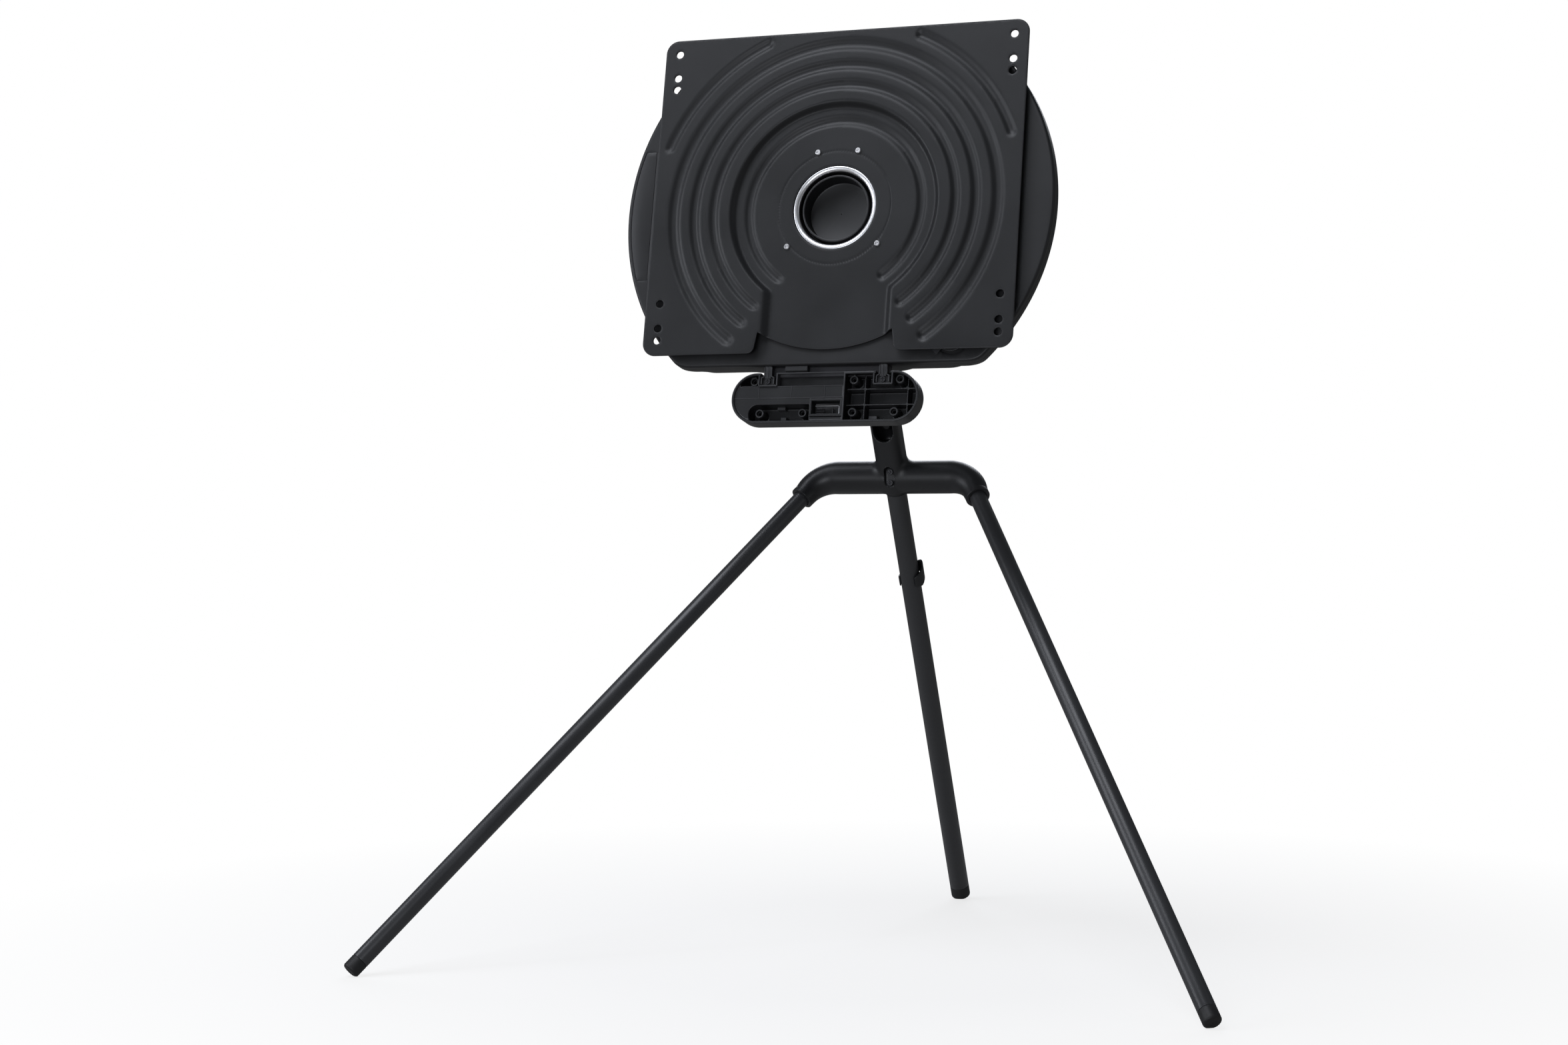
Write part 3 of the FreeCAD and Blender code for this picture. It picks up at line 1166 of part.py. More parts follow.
def export_all():
    os.makedirs("parts", exist_ok=True)
    head_part("vesa_plate", vesa_plate())
    head_part("plate_screws", plate_screws())
    head_part("trim_ring", trim_ring())
    head_part("rotor_hub", rotor_hub())
    head_part("ring_gear", ring_gear())
    head_part("gear_screws", gear_screws())
    head_part("bearing_inner_race", inner_race())
    head_part("bearing_outer_race", outer_race())
    head_part("bearing_balls", Part.makeCompound(balls(BALL_R)))
    head_part("bearing_cage", bearing_cage())
    head_part("bearing_spacer", bearing_spacer())
    head_part("retaining_ring", retaining_ring())
    head_part("drive_pinion", pinion())
    head_part("drive_shaft", drive_shaft())
    head_part("housing_front", housing_front())
    head_part("side_panel", side_panel())
    head_part("cable_latch", cable_latch())
    head_part("housing_rear", housing_rear())
    head_part("chassis_plate", chassis())
    head_part("chassis_screws", chassis_screws())
    head_part("centre_cup", centre_cup())
    head_part("cup_screws", cup_screws())
    head_part("gearbox", gearbox())
    head_part("drive_motor", drive_motor())
    board = control_board()
    for hole in board_posts(CHASSIS_BACK, board_face() + 1, 1.6):
        board = board.cut(hole)
    head_part("control_board", board)
    spacers = board_posts(CHASSIS_BACK, CHASSIS_BACK + BOARD_STANDOFF, 3)
    head_part("board_spacers", Part.makeCompound(spacers))
    head_part("board_chips", board_chips())
    head_part("limit_switches", limit_switches())
    head_part("power_inlet", power_inlet())
    head_part("tilt_bracket", tilt_bracket())
    head_part("bracket_bolts", bracket_bolts())
    head_part("tilt_bolt", tilt_bolt())
    head_part("tilt_nut", tilt_nut())
    head_part("friction_washers", friction_washers())
    head_part("accessory_tray", accessory_tray())
    head_part("connector_frame", connector_frame())
    head_part("connector_contacts", connector_contacts())
    head_part("hook_clips", hook_clips())
    head_part("hook_screws", hook_screws())

    export("hub", hub())
    export("hub_screws", hub_screws())
    export("mast", mast())
    export("tilt_knuckle", tilt_knuckle())
    leg_start = SOCKET - LEG_DIR * SOCKET_DEPTH
    right_leg = leg(leg_start, FRONT_FOOT, FRONT_LEG_R)
    export("leg_right", right_leg)
    export("leg_left", mirrored(right_leg))
    rear_start = on_neck(REAR_SOCKET_TOP - GAP)
    export("leg_rear", leg(rear_start, REAR_FOOT, REAR_LEG_R))
    right_foot = foot(leg_start, FRONT_FOOT, FRONT_LEG_R)
    export("foot_right", right_foot)
    export("foot_left", mirrored(right_foot))
    export("foot_rear", foot(rear_start, REAR_FOOT, REAR_LEG_R))
    front_plug = socket_plug(leg_start, LEG_DIR, FRONT_LEG_R)
    rear_plug = socket_plug(rear_start, NECK_DIR * -1, REAR_LEG_R)
    export("leg_plugs", Part.makeCompound([front_plug, mirrored(front_plug), rear_plug]))
    export("cable_clip", cable_clip())


export_all()
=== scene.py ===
import json
import math

import bmesh
import bpy
import numpy as np
from mathutils import Matrix, Vector, geometry
from mathutils.bvhtree import BVHTree


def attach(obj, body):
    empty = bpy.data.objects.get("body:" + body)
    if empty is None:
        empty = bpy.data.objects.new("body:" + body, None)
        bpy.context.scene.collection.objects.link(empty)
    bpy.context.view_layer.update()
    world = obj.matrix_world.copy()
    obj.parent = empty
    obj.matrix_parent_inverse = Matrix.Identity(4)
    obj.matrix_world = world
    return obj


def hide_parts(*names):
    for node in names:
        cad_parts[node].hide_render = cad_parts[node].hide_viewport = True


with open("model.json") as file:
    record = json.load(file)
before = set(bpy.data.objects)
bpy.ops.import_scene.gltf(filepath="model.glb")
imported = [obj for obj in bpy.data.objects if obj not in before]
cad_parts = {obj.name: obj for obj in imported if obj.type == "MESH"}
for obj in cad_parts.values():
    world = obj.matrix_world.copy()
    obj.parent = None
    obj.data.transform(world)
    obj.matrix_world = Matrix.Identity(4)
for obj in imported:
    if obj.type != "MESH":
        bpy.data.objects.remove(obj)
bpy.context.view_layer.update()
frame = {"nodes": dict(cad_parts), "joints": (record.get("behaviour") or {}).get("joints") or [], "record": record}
NODES = frame["nodes"]
MM = 0.001
SCENE = bpy.context.scene

# The head's frame: x to the right, rise up along the plate, depth into the head, in mm.
AXLE = next(j for j in frame["joints"] if j["name"] == "plate_turn")
ORIGIN = np.array(AXLE["pos_m"], float)
RIGHT = np.array([1.0, 0.0, 0.0])
DEPTH = -np.array(AXLE["axis"], float)
RISE = np.cross(RIGHT, DEPTH)


def head_points(x, rise, depth):
    """Points in metres from places in the head's frame."""
    x, rise, depth = np.broadcast_arrays(*[np.asarray(a, float) for a in (x, rise, depth)])
    flat = np.stack([x.ravel(), rise.ravel(), depth.ravel()], 1) * MM
    return ORIGIN + flat @ np.stack([RIGHT, RISE, DEPTH])


# ------------------------------------------------------------------ materials
def node_of(tree, kind, **inputs):
    """A new node with its sockets set, or its own settings where it has no such socket."""
    node = tree.nodes.new(kind)
    for key, value in inputs.items():
        if key in node.inputs:
            node.inputs[key].default_value = value
        else:
            setattr(node, key, value)
    return node


def noise(tree, coords, scale, detail, stretch=None):
    """The value of a noise texture, finer along an axis where stretch is more than 1."""
    if stretch:
        mapping = node_of(tree, "ShaderNodeMapping")
        mapping.inputs["Scale"].default_value = stretch
        tree.links.new(coords, mapping.inputs["Vector"])
        coords = mapping.outputs["Vector"]
    found = node_of(tree, "ShaderNodeTexNoise", Scale=scale, Detail=detail)
    tree.links.new(coords, found.inputs["Vector"])
    return found.outputs["Fac"]


def ranged(tree, value, low, high, to_low, to_high):
    """A value moved from one range to another and held at its ends."""
    ends = {"From Min": low, "From Max": high, "To Min": to_low, "To Max": to_high}
    node = node_of(tree, "ShaderNodeMapRange", **ends)
    tree.links.new(value, node.inputs["Value"])
    return node.outputs["Result"]


ROUGH_SPREAD = 0.05
GRAIN_STRENGTH = 0.7


def material(name, low, high, rough, grain, bump, metal=0.0, mottle=14.0, edge_wear_and_highlight=0.0, worn_and_highlight_tone=None,
             coat=0.0, stretch=None, specular=0.5):
    """A procedural finish: two tones mottled together, uneven roughness, a fine grain and edges
    mixed towards a lighter tone, partly scuffing and partly a painted highlight. Grain and
    mottle are the scales of its noises, and bump is the grain's height in metres."""
    made = bpy.data.materials.new(name)
    made.use_nodes = True
    tree = made.node_tree
    shader = tree.nodes["Principled BSDF"]
    shader.inputs["Metallic"].default_value = metal
    shader.inputs["Specular IOR Level"].default_value = specular
    shader.inputs["Coat Weight"].default_value = coat
    coords = node_of(tree, "ShaderNodeTexCoord").outputs["Object"]
    patches = noise(tree, coords, mottle, 4.0)
    specks = noise(tree, coords, grain, 3.0, stretch)
    mix = node_of(tree, "ShaderNodeMix", data_type="RGBA")
    mix.inputs["A"].default_value = (*low, 1)
    mix.inputs["B"].default_value = (*high, 1)
    both = node_of(tree, "ShaderNodeMath", operation="ADD")
    tree.links.new(ranged(tree, patches, 0.3, 0.7, 0.0, 0.6), both.inputs[0])
    tree.links.new(ranged(tree, specks, 0.35, 0.65, 0.0, 0.4), both.inputs[1])
    tree.links.new(both.outputs[0], mix.inputs["Factor"])
    colour = mix.outputs["Result"]
    # Convex edges, found by their pointiness, turn lighter: partly scuffing, partly a painted highlight along the
    # rims.
    if edge_wear_and_highlight:
        edges = node_of(tree, "ShaderNodeNewGeometry").outputs["Pointiness"]
        rubbed_and_highlit = node_of(tree, "ShaderNodeMix", data_type="RGBA")
        share = node_of(tree, "ShaderNodeMath", operation="MULTIPLY")
        tree.links.new(ranged(tree, edges, 0.53, 0.62, 0.0, edge_wear_and_highlight), share.inputs[0])
        tree.links.new(ranged(tree, patches, 0.35, 0.6, 0.3, 1.0), share.inputs[1])
        tree.links.new(share.outputs[0], rubbed_and_highlit.inputs["Factor"])
        tree.links.new(colour, rubbed_and_highlit.inputs["A"])
        rubbed_and_highlit.inputs["B"].default_value = (*worn_and_highlight_tone, 1)
        colour = rubbed_and_highlit.outputs["Result"]
    tree.links.new(colour, shader.inputs["Base Color"])
    uneven = ranged(tree, patches, 0.25, 0.75, rough - ROUGH_SPREAD, rough + ROUGH_SPREAD)
    tree.links.new(uneven, shader.inputs["Roughness"])
    lumps = node_of(tree, "ShaderNodeBump", Strength=GRAIN_STRENGTH, Distance=bump)
    tree.links.new(specks, lumps.inputs["Height"])
    tree.links.new(lumps.outputs["Normal"], shader.inputs["Normal"])
    return made


# Each finish: its dark and light tones, its roughness and what else is special about it.
LOOKS = {
    "powder_coat": ((0.0085, 0.0088, 0.0096), (0.0135, 0.014, 0.0152), 0.46,
        dict(grain=1100, bump=0.00004, edge_wear_and_highlight=0.16, worn_and_highlight_tone=(0.1, 0.1, 0.105), specular=0.42)),
    "bright_steel": ((0.8, 0.8, 0.81), (0.93, 0.93, 0.94), 0.38,
        dict(metal=1.0, grain=2200, bump=0.000004)),
    "dark_steel": ((0.03, 0.03, 0.032), (0.065, 0.065, 0.068), 0.42,
        dict(metal=1.0, grain=2200, bump=0.000006)),
    "chrome_trim": ((0.9, 0.9, 0.91), (0.97, 0.97, 0.98), 0.36,
        dict(metal=1.0, grain=400, bump=0.0000005)),
    "cover_plastic": ((0.0075, 0.0077, 0.0085), (0.0125, 0.0128, 0.014), 0.45,
        dict(grain=2300, bump=0.00002, edge_wear_and_highlight=0.1, worn_and_highlight_tone=(0.06, 0.06, 0.065))),
    # The tray's strong edge lightening is mostly a painted highlight along its rims.
    "tray_plastic": ((0.0085, 0.0088, 0.0097), (0.0135, 0.014, 0.0153), 0.4,
        dict(grain=1900, bump=0.000012, edge_wear_and_highlight=0.6, worn_and_highlight_tone=(0.085, 0.086, 0.09))),
    "cast_paint": ((0.009, 0.0092, 0.0102), (0.0145, 0.0148, 0.016), 0.42,
        dict(grain=1000, bump=0.00003)),
    "tube_paint": ((0.03, 0.0306, 0.0325), (0.041, 0.0417, 0.044), 0.36,
        dict(grain=900, bump=0.000003)),
    "foot_rubber": ((0.006, 0.006, 0.0063), (0.012, 0.012, 0.0123), 0.58,
        dict(grain=1600, bump=0.00003)),
    "machined_steel": ((0.4, 0.4, 0.41), (0.6, 0.6, 0.61), 0.3,
        dict(metal=1.0, grain=800, bump=0.000006, stretch=(1.0, 1.0, 6.0))),
    "plated_sheet": ((0.33, 0.34, 0.35), (0.5, 0.51, 0.52), 0.38,
        dict(metal=1.0, grain=500, bump=0.000008)),
    "brass": ((0.6, 0.44, 0.2), (0.8, 0.62, 0.34), 0.3,
        dict(metal=1.0, grain=1500, bump=0.000006)),
    "friction_fibre": ((0.22, 0.18, 0.12), (0.42, 0.36, 0.26), 0.8,
        dict(grain=1800, bump=0.00005, mottle=300)),
    "board_green": ((0.012, 0.09, 0.045), (0.03, 0.17, 0.09), 0.3,
        dict(grain=1200, bump=0.00001, mottle=120, coat=0.4)),
    "chip_black": ((0.02, 0.02, 0.022), (0.045, 0.045, 0.05), 0.5,
        dict(grain=3000, bump=0.00001)),
}
FINISHES = {name: material(name, low, high, rough, **more)
            for name, (low, high, rough, more) in LOOKS.items()}
SLOT_OF = {s["node"]: s["material_slot"] for s in frame["record"]["subparts"]}
for node, cad in NODES.items():
    cad.data.materials.clear()
    cad.data.materials.append(FINISHES[SLOT_OF[node]])


# ------------------------------------------------------------------ making pieces
def finish_piece(obj, body, slot, nodes=(), sharp=35.0):
    """Shade a piece, give it its finish and tell the frame where it belongs."""
    mesh = obj.data
    mesh.shade_smooth()
    mesh.set_sharp_from_angle(angle=math.radians(sharp))
    mesh.materials.clear()
    mesh.materials.append(FINISHES[slot])
    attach(obj, body)
    if nodes:
        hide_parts(*nodes)
    return obj


def piece(name, points, faces, body, slot, nodes=(), sharp=35.0):
    """A piece from points in metres, its shared points welded."""
    mesh = bpy.data.meshes.new(name)
    mesh.from_pydata([tuple(p) for p in points], [], [tuple(f) for f in faces])
    bm = bmesh.new()
    bm.from_mesh(mesh)
    bmesh.ops.remove_doubles(bm, verts=bm.verts[:], dist=1e-6)
    bmesh.ops.recalc_face_normals(bm, faces=bm.faces[:])
    bm.to_mesh(mesh)
    bm.free()
    obj = bpy.data.objects.new(name, mesh)
    SCENE.collection.objects.link(obj)
    return finish_piece(obj, body, slot, nodes, sharp)


def stitched(first, second):
    """Quads between two closed rings, each given as its points' indices."""
    count = len(first)
    return [(first[i], first[(i + 1) % count], second[(i + 1) % count], second[i])
            for i in range(count)]


def ring_faces(first, second, count):
    """Quads between two closed rings of count points whose first indices are given."""
    return stitched(range(first, first + count), range(second, second + count))


def lathe_mesh(profile, place, count=96):
    """A closed (radius, along) profile in mm turned about an axis. A place is the axis's start,
    its direction and a direction across it."""
    start, axis, side = [np.asarray(v, float) for v in place]
    other = np.cross(axis, side)
    angles = np.arange(count) * 2 * math.pi / count
    rim = np.cos(angles)[:, None] * side + np.sin(angles)[:, None] * other
    points = np.concatenate([start + rim * r * MM + axis * a * MM for r, a in profile])
    faces = []
    for k in range(len(profile)):
        faces += ring_faces(k * count, (k + 1) % len(profile) * count, count)
    return points, faces


def head_place(x=0.0, rise=0.0):
    """The place of something round in the head, its axis straight into the head."""
    return head_points(x, rise, 0.0)[0], DEPTH, RIGHT


def merged(parts):
    """Several (points, faces) meshes as one."""
    points, faces, base = [], [], 0
    for more, polygons in parts:
        points.append(more)
        faces += [tuple(i + base for i in f) for f in polygons]
        base += len(more)
    return np.concatenate(points), faces


def arc(cx, cy, radius, first, last, steps):
    """Points along an arc between two angles in degrees."""
    angles = np.radians(np.linspace(first, last, steps + 1))
    return [(cx + radius * math.cos(a), cy + radius * math.sin(a)) for a in angles]


def resampled(points, step):
    """A closed outline with points at most step apart, keeping its corners."""
    found = []
    for a, b in zip(points, points[1:] + points[:1]):
        length = math.dist(a, b)
        count = max(1, math.ceil(length / step))
        if length > 1e-6:
            found += [(a[0] + (b[0] - a[0]) * k / count, a[1] + (b[1] - a[1]) * k / count)
                      for k in range(count)]
    return np.array(found)


def inward(loop):
    """Unit vectors, one at each point of an outline, towards the left of its direction."""
    ahead = np.roll(loop, -1, 0) - loop
    back = loop - np.roll(loop, 1, 0)
    ahead /= np.linalg.norm(ahead, axis=1)[:, None]
    back /= np.linalg.norm(back, axis=1)[:, None]
    normal = np.stack([-(ahead + back)[:, 1], (ahead + back)[:, 0]], 1)
    length = np.maximum(np.linalg.norm(normal, axis=1), 1.0)
    return normal / length[:, None] / np.maximum(length / 2, 0.7)[:, None]


def inside(points, loop, margin):
    """Which points are inside an outline and which are outside, each more than margin from it."""
    px, py = points[:, 0], points[:, 1]
    hit = np.zeros(len(points), bool)
    near = np.full(len(points), np.inf)
    for (ax, ay), (bx, by) in zip(loop, np.roll(loop, -1, 0)):
        if ay != by:
            hit ^= ((ay > py) != (by > py)) & (px < (bx - ax) * (py - ay) / (by - ay) + ax)
        dx, dy = bx - ax, by - ay
        t = np.clip(((px - ax) * dx + (py - ay) * dy) / (dx * dx + dy * dy), 0, 1)
        near = np.minimum(near, np.hypot(px - ax - t * dx, py - ay - t * dy))
    return hit & (near > margin), ~hit & (near > margin)


def between(points, outlines, margin):
    """Which points are inside the first outline and outside the others."""
    keep = inside(points, outlines[0], margin)[0]
    for hole in outlines[1:]:
        keep &= inside(points, hole, margin)[1]
    return keep


# A sheet's own rounded edge, as (inset, depth) steps from a face, and how near its fill comes.
EDGE = ((0.55, 0.0), (0.16, 0.16), (0.0, 0.55))
FILL_MARGIN = 0.9


def sheet_mesh(loops, depth_of, thick, fill):
    """A sheet between its front and back faces: loops holds (outline, rim) pairs, the outer one
    first and anticlockwise, the holes clockwise. A rim is (inset, depth) steps from the front
    face's edge to the back face's; None is a sheet's own rounded edge."""
    edge = list(EDGE) + [(i, thick - d) for i, d in reversed(EDGE)]
    bounds = []
    for outline, rim in loops:
        rim = rim or edge
        bounds.append((outline + inward(outline) * rim[0][0], outline, rim))
    outlines = [boundary for boundary, _, _ in bounds]
    flat = np.concatenate(outlines + [fill[between(fill, outlines, FILL_MARGIN)]])
    edges, starts, base = [], [], 0
    for count in map(len, outlines):
        starts.append(base)
        edges += [(base + i, base + (i + 1) % count) for i in range(count)]
        base += count
    found = geometry.delaunay_2d_cdt([Vector(p) for p in flat], edges, [], 1, 1e-5)
    spots = np.array([tuple(p) for p in found[0]])
    index = {}
    for new, olds in enumerate(found[3]):
        for old in olds:
            index[old] = new
    depth = depth_of(spots[:, 0], spots[:, 1])
    points = [head_points(spots[:, 0], spots[:, 1], d) for d in (depth, depth + thick)]
    total = len(spots)
    centres = np.array([spots[list(f)].mean(0) for f in found[2]])
    keep = between(centres, outlines, 0.0)
    skin = [tuple(f) for f, good in zip(found[2], keep) if good]
    faces = skin + [tuple(i + total for i in reversed(f)) for f in skin]
    base = 2 * total
    for (boundary, outline, rim), start in zip(bounds, starts):
        count = len(boundary)
        front = depth_of(boundary[:, 0], boundary[:, 1])
        previous = [index[start + i] for i in range(count)]
        direction = inward(outline)
        for inset, drop in rim[1:-1]:
            ring = outline + direction * inset
            points.append(head_points(ring[:, 0], ring[:, 1], front + drop))
            current = range(base, base + count)
            faces += stitched(previous, current)
            previous, base = current, base + count
        faces += stitched(previous, [index[start + i] + total for i in range(count)])
    return np.concatenate(points), faces


def rings_of_points(radii, spacing):
    """Points on circles about the middle, to fill a sheet."""
    found = []
    for radius in radii:
        count = max(12, int(2 * math.pi * radius / spacing))
        angles = (np.arange(count) + 0.5) * 2 * math.pi / count
        found.append(np.stack([radius * np.cos(angles), radius * np.sin(angles)], 1))
    return np.concatenate(found)


def circle(radius, x=0.0, rise=0.0, step=1.2):
    """A hole's outline, so it runs clockwise."""
    count = max(20, int(2 * math.pi * radius / step))
    angles = -np.arange(count) * 2 * math.pi / count
    return np.stack([x + radius * np.cos(angles), rise + radius * np.sin(angles)], 1)


def level(value):
    """The depth of a flat sheet."""
    return lambda x, rise: np.full(np.shape(x), float(value))


def smooth(t):
    """A soft step from 0 to 1."""
    t = np.clip(t, 0, 1)
    return t * t * (3 - 2 * t)


def cleaned(node):
    """A CAD node's mesh with its seams welded and no slivers."""
    bm = bmesh.new()
    bm.from_mesh(NODES[node].data)
    bmesh.ops.remove_doubles(bm, verts=bm.verts[:], dist=2e-6)
    bmesh.ops.dissolve_degenerate(bm, edges=bm.edges[:], dist=2e-6)
    return bm


def object_from(name, bm):
    """A new object with a mesh's points and faces and nothing else of it."""
    loose = bpy.data.meshes.new(name)
    bm.to_mesh(loose)
    bm.free()
    mesh = bpy.data.meshes.new(name + "_mesh")
    mesh.from_pydata([v.co[:] for v in loose.vertices], [],
                     [p.vertices[:] for p in loose.polygons])
    bpy.data.meshes.remove(loose)
    obj = bpy.data.objects.new(name, mesh)
    SCENE.collection.objects.link(obj)
    return obj


BEVEL_FROM = 32.0


def softened(node, name, body, width, extra=None):
    """A node's own shape with its edges rounded off by width, in mm, and perhaps a mesh added."""
    bm = cleaned(node)
    edges = [e for e in bm.edges
             if len(e.link_faces) == 2 and e.calc_face_angle() > math.radians(BEVEL_FROM)]
    bmesh.ops.bevel(bm, geom=edges, offset=width * MM, offset_type="OFFSET", segments=2,
                    profile=0.6, affect="EDGES", clamp_overlap=False)
    bmesh.ops.recalc_face_normals(bm, faces=bm.faces[:])
    obj = object_from(name, bm)
    if extra is not None:
        join_into(obj, extra)
    return finish_piece(obj, body, SLOT_OF[node], [node], sharp=38.0)


def join_into(obj, extra):
    """Add a (points, faces) mesh to an object's own."""
    points, faces = extra
    bm = bmesh.new()
    bm.from_mesh(obj.data)
    made = [bm.verts.new(tuple(p)) for p in points]
    for face in faces:
        bm.faces.new([made[i] for i in face])
    bmesh.ops.recalc_face_normals(bm, faces=bm.faces[:])
    bm.to_mesh(obj.data)
    bm.free()


# How many plain passes even the new skin out before a weight takes over.
SETTLE = 3


def remeshed(node, name, body, voxel, passes, weight=None, sharp=60.0):
    """A node's shape on an even skin with voxels in mm, relaxed. A weight only fills hollow joins,
    most where it is strong."""
    obj = object_from(name, cleaned(node))
    modifier = obj.modifiers.new("skin", "REMESH")
    modifier.mode = "VOXEL"
    modifier.voxel_size = voxel * MM
    graph = bpy.context.evaluated_depsgraph_get()
    mesh = bpy.data.meshes.new_from_object(obj.evaluated_get(graph))
    obj.modifiers.clear()
    obj.data = mesh
    co = np.zeros(len(mesh.vertices) * 3)
    mesh.vertices.foreach_get("co", co)
    co = co.reshape(-1, 3)
    ends = np.zeros(len(mesh.edges) * 2, int)
    mesh.edges.foreach_get("vertices", ends)
    a, b = ends.reshape(-1, 2).T
    degree = np.bincount(ends, minlength=len(co))[:, None]
    share = np.ones(len(co)) if weight is None else weight(co)
    outward = np.zeros(len(co) * 3)
    mesh.vertices.foreach_get("normal", outward)
    outward = outward.reshape(-1, 3)
    for step in range(passes):
        total = np.stack([np.bincount(a, co[b, k], len(co)) + np.bincount(b, co[a, k], len(co))
                          for k in range(3)], 1)
        shift = total / degree - co
        if weight is None or step < SETTLE:
            co += 0.4 * shift
        else:
            inwards = np.minimum((shift * outward).sum(1), 0)
            co += 0.5 * share[:, None] * (shift - inwards[:, None] * outward)
    mesh.vertices.foreach_set("co", co.ravel())
    mesh.update()
    return finish_piece(obj, body, SLOT_OF[node], [node], sharp)


def ridge(start, end, width, front, back, cut=0.25):
    """A straight bar between two (x, rise) points, its front edges chamfered."""
    start, end = np.array(start, float), np.array(end, float)
    along = (end - start) / np.linalg.norm(end - start)
    side = np.array([-along[1], along[0]]) * width / 2
    share = 1 - 2 * cut / width
    section = [(-1, back), (-1, front + cut), (-share, front), (share, front), (1, front + cut),
               (1, back)]
    flat = np.array([tip + side * s for tip in (start, end) for s, _ in section])
    depths = [d for _ in range(2) for _, d in section]
    size = len(section)
    faces = ring_faces(0, size, size)
    faces += [tuple(reversed(range(size))), tuple(range(size, 2 * size))]
    return head_points(flat[:, 0], flat[:, 1], depths), faces


def strip(path, profile):
    """An open path in the head's frame swept with a closed (inset, depth) profile, both ends
    capped."""
    path = np.array(path, float)
    ahead = np.gradient(path, axis=0)
    ahead /= np.linalg.norm(ahead, axis=1)[:, None]
    normal = np.stack([-ahead[:, 1], ahead[:, 0]], 1)
    count, size = len(path), len(profile)
    flat = np.concatenate([path + normal * inset for inset, _ in profile])
    points = head_points(flat[:, 0], flat[:, 1], np.repeat([d for _, d in profile], count))
    faces = []
    for k in range(size):
        a, b = k * count, (k + 1) % size * count
        faces += [(a + i, a + i + 1, b + i + 1, b + i) for i in range(count - 1)]
    faces.append(tuple(k * count for k in range(size)))
    faces.append(tuple(k * count + count - 1 for k in reversed(range(size))))
    return points, faces


# ------------------------------------------------------------------ mounting plate
# Its sizes are in mm about the turning axis, its angles in degrees.
PLATE_HALF, PLATE_TOP, PLATE_LOW, PLATE_CORNER, SHEET = 217.0, 208.0, -170.0, 15.0, 2.5
DISH_R, DISH_WALL, DISH_DEPTH = 124.0, 7.0, 6.7
CHANNEL_HALF, CHANNEL_WALL = 76.5, 9.0
LIP_R, MOUTH_HALF, MOUTH_TOP_HALF, MOUTH_CORNER = 165.5, 83.0, 79.0, 9.0
TOP, BEAD_ENDS = 90.0, 143.0
STAMPED_R, STAMPED_DEPTH, STAMPED_HALF = 66.5, 0.3, 1.3
# Each bead: its radius, width, depth, and first and last angle.
BEADS = [(r, w, d, TOP - BEAD_ENDS, TOP + BEAD_ENDS)
         for r, w, d in ((191.5, 15.0, 3.0), (166.5, 13.0, 3.0), (143.0, 12.0, 2.8),
                         (102.0, 12.0, 2.5))]
BEADS += [(217.0, 12.5, 2.5, TOP - 69, TOP - 24.8), (217.0, 12.5, 2.5, TOP + 24.8, TOP + 69)]
HOLE_XS, HOLE_R = (-200.0, 200.0), 4.5
HOLE_ROWS = (-152.0, -138.0, -109.0, 148.0, 162.0, 191.0)
BORE_R = 49.2
SCREW_CIRCLE, SCREW_ANGLES = 69.6, (70, 110, 220, 320)


def bead_depth(x, rise, radius, width, depth, first, last):
    """How far one bead, an arc with round ends, presses the plate back."""
    middle, reach = math.radians((first + last) / 2), math.radians((last - first) / 2)
    angle = np.arctan2(rise, x) - middle
    angle = (angle + math.pi) % (2 * math.pi) - math.pi
    near = np.clip(angle, -reach, reach) + middle
    off = np.hypot(x - radius * np.cos(near), rise - radius * np.sin(near))
    return depth * smooth(1.18 - 2 * off / width)


def plate_depth(x, rise):
    """The depth of the plate's face: its dish and channel, its beads and its stamped line."""
    r = np.hypot(x, rise)
    bowl = (DISH_R - r) / DISH_WALL
    trough = np.where(rise < 0, (CHANNEL_HALF - np.abs(x)) / CHANNEL_WALL, -9.0)
    blend = np.clip(0.5 + 0.5 * (bowl - trough) / 0.5, 0, 1)
    t = np.maximum(bowl, trough) + 0.12 * blend * (1 - blend)
    depth = DISH_DEPTH * smooth(t)
    for bead in BEADS:
        depth = depth + bead_depth(x, rise, *bead)
    return depth + STAMPED_DEPTH * smooth(STAMPED_HALF - np.abs(r - STAMPED_R) / 0.7)


def plate_outline():
    """The plate's edge, with the mouth of its channel in the lower one."""
    c, low, half = PLATE_CORNER, PLATE_LOW, PLATE_HALF
    mouth_top = -math.sqrt(LIP_R ** 2 - MOUTH_TOP_HALF ** 2)
    spread = math.asin(MOUTH_TOP_HALF / LIP_R)
    lip = [(LIP_R * math.sin(a), -LIP_R * math.cos(a)) for a in np.linspace(-spread, spread, 60)]
    slant = math.atan2(MOUTH_HALF - MOUTH_TOP_HALF, mouth_top - low)
    corner_x = MOUTH_HALF - MOUTH_CORNER * math.tan(slant) + MOUTH_CORNER / math.cos(slant)
    right = arc(corner_x, low + MOUTH_CORNER, MOUTH_CORNER, 180 + math.degrees(slant), 270, 8)
    left = [(-x, y) for x, y in reversed(right)]
    points = left + lip + right
    points += arc(half - c, low + c, c, 270, 360, 14) + arc(half - c, PLATE_TOP - c, c, 0, 90, 14)
    points += arc(c - half, PLATE_TOP - c, c, 90, 180, 14)
    points += arc(c - half, low + c, c, 180, 270, 14)
    return resampled(points, 3.0)


def plate_fill():
    """Points all over the plate, closest together along the stamped line."""
    fill = rings_of_points(np.arange(50.5, 300, 1.5), 3.4)
    line = rings_of_points(STAMPED_R + np.array([-0.95, -0.6, -0.2, 0.2, 0.6, 0.95]), 3.4)
    reach = np.hypot(fill[:, 0], fill[:, 1])
    return np.concatenate([fill[np.abs(reach - STAMPED_R) > STAMPED_HALF], line])


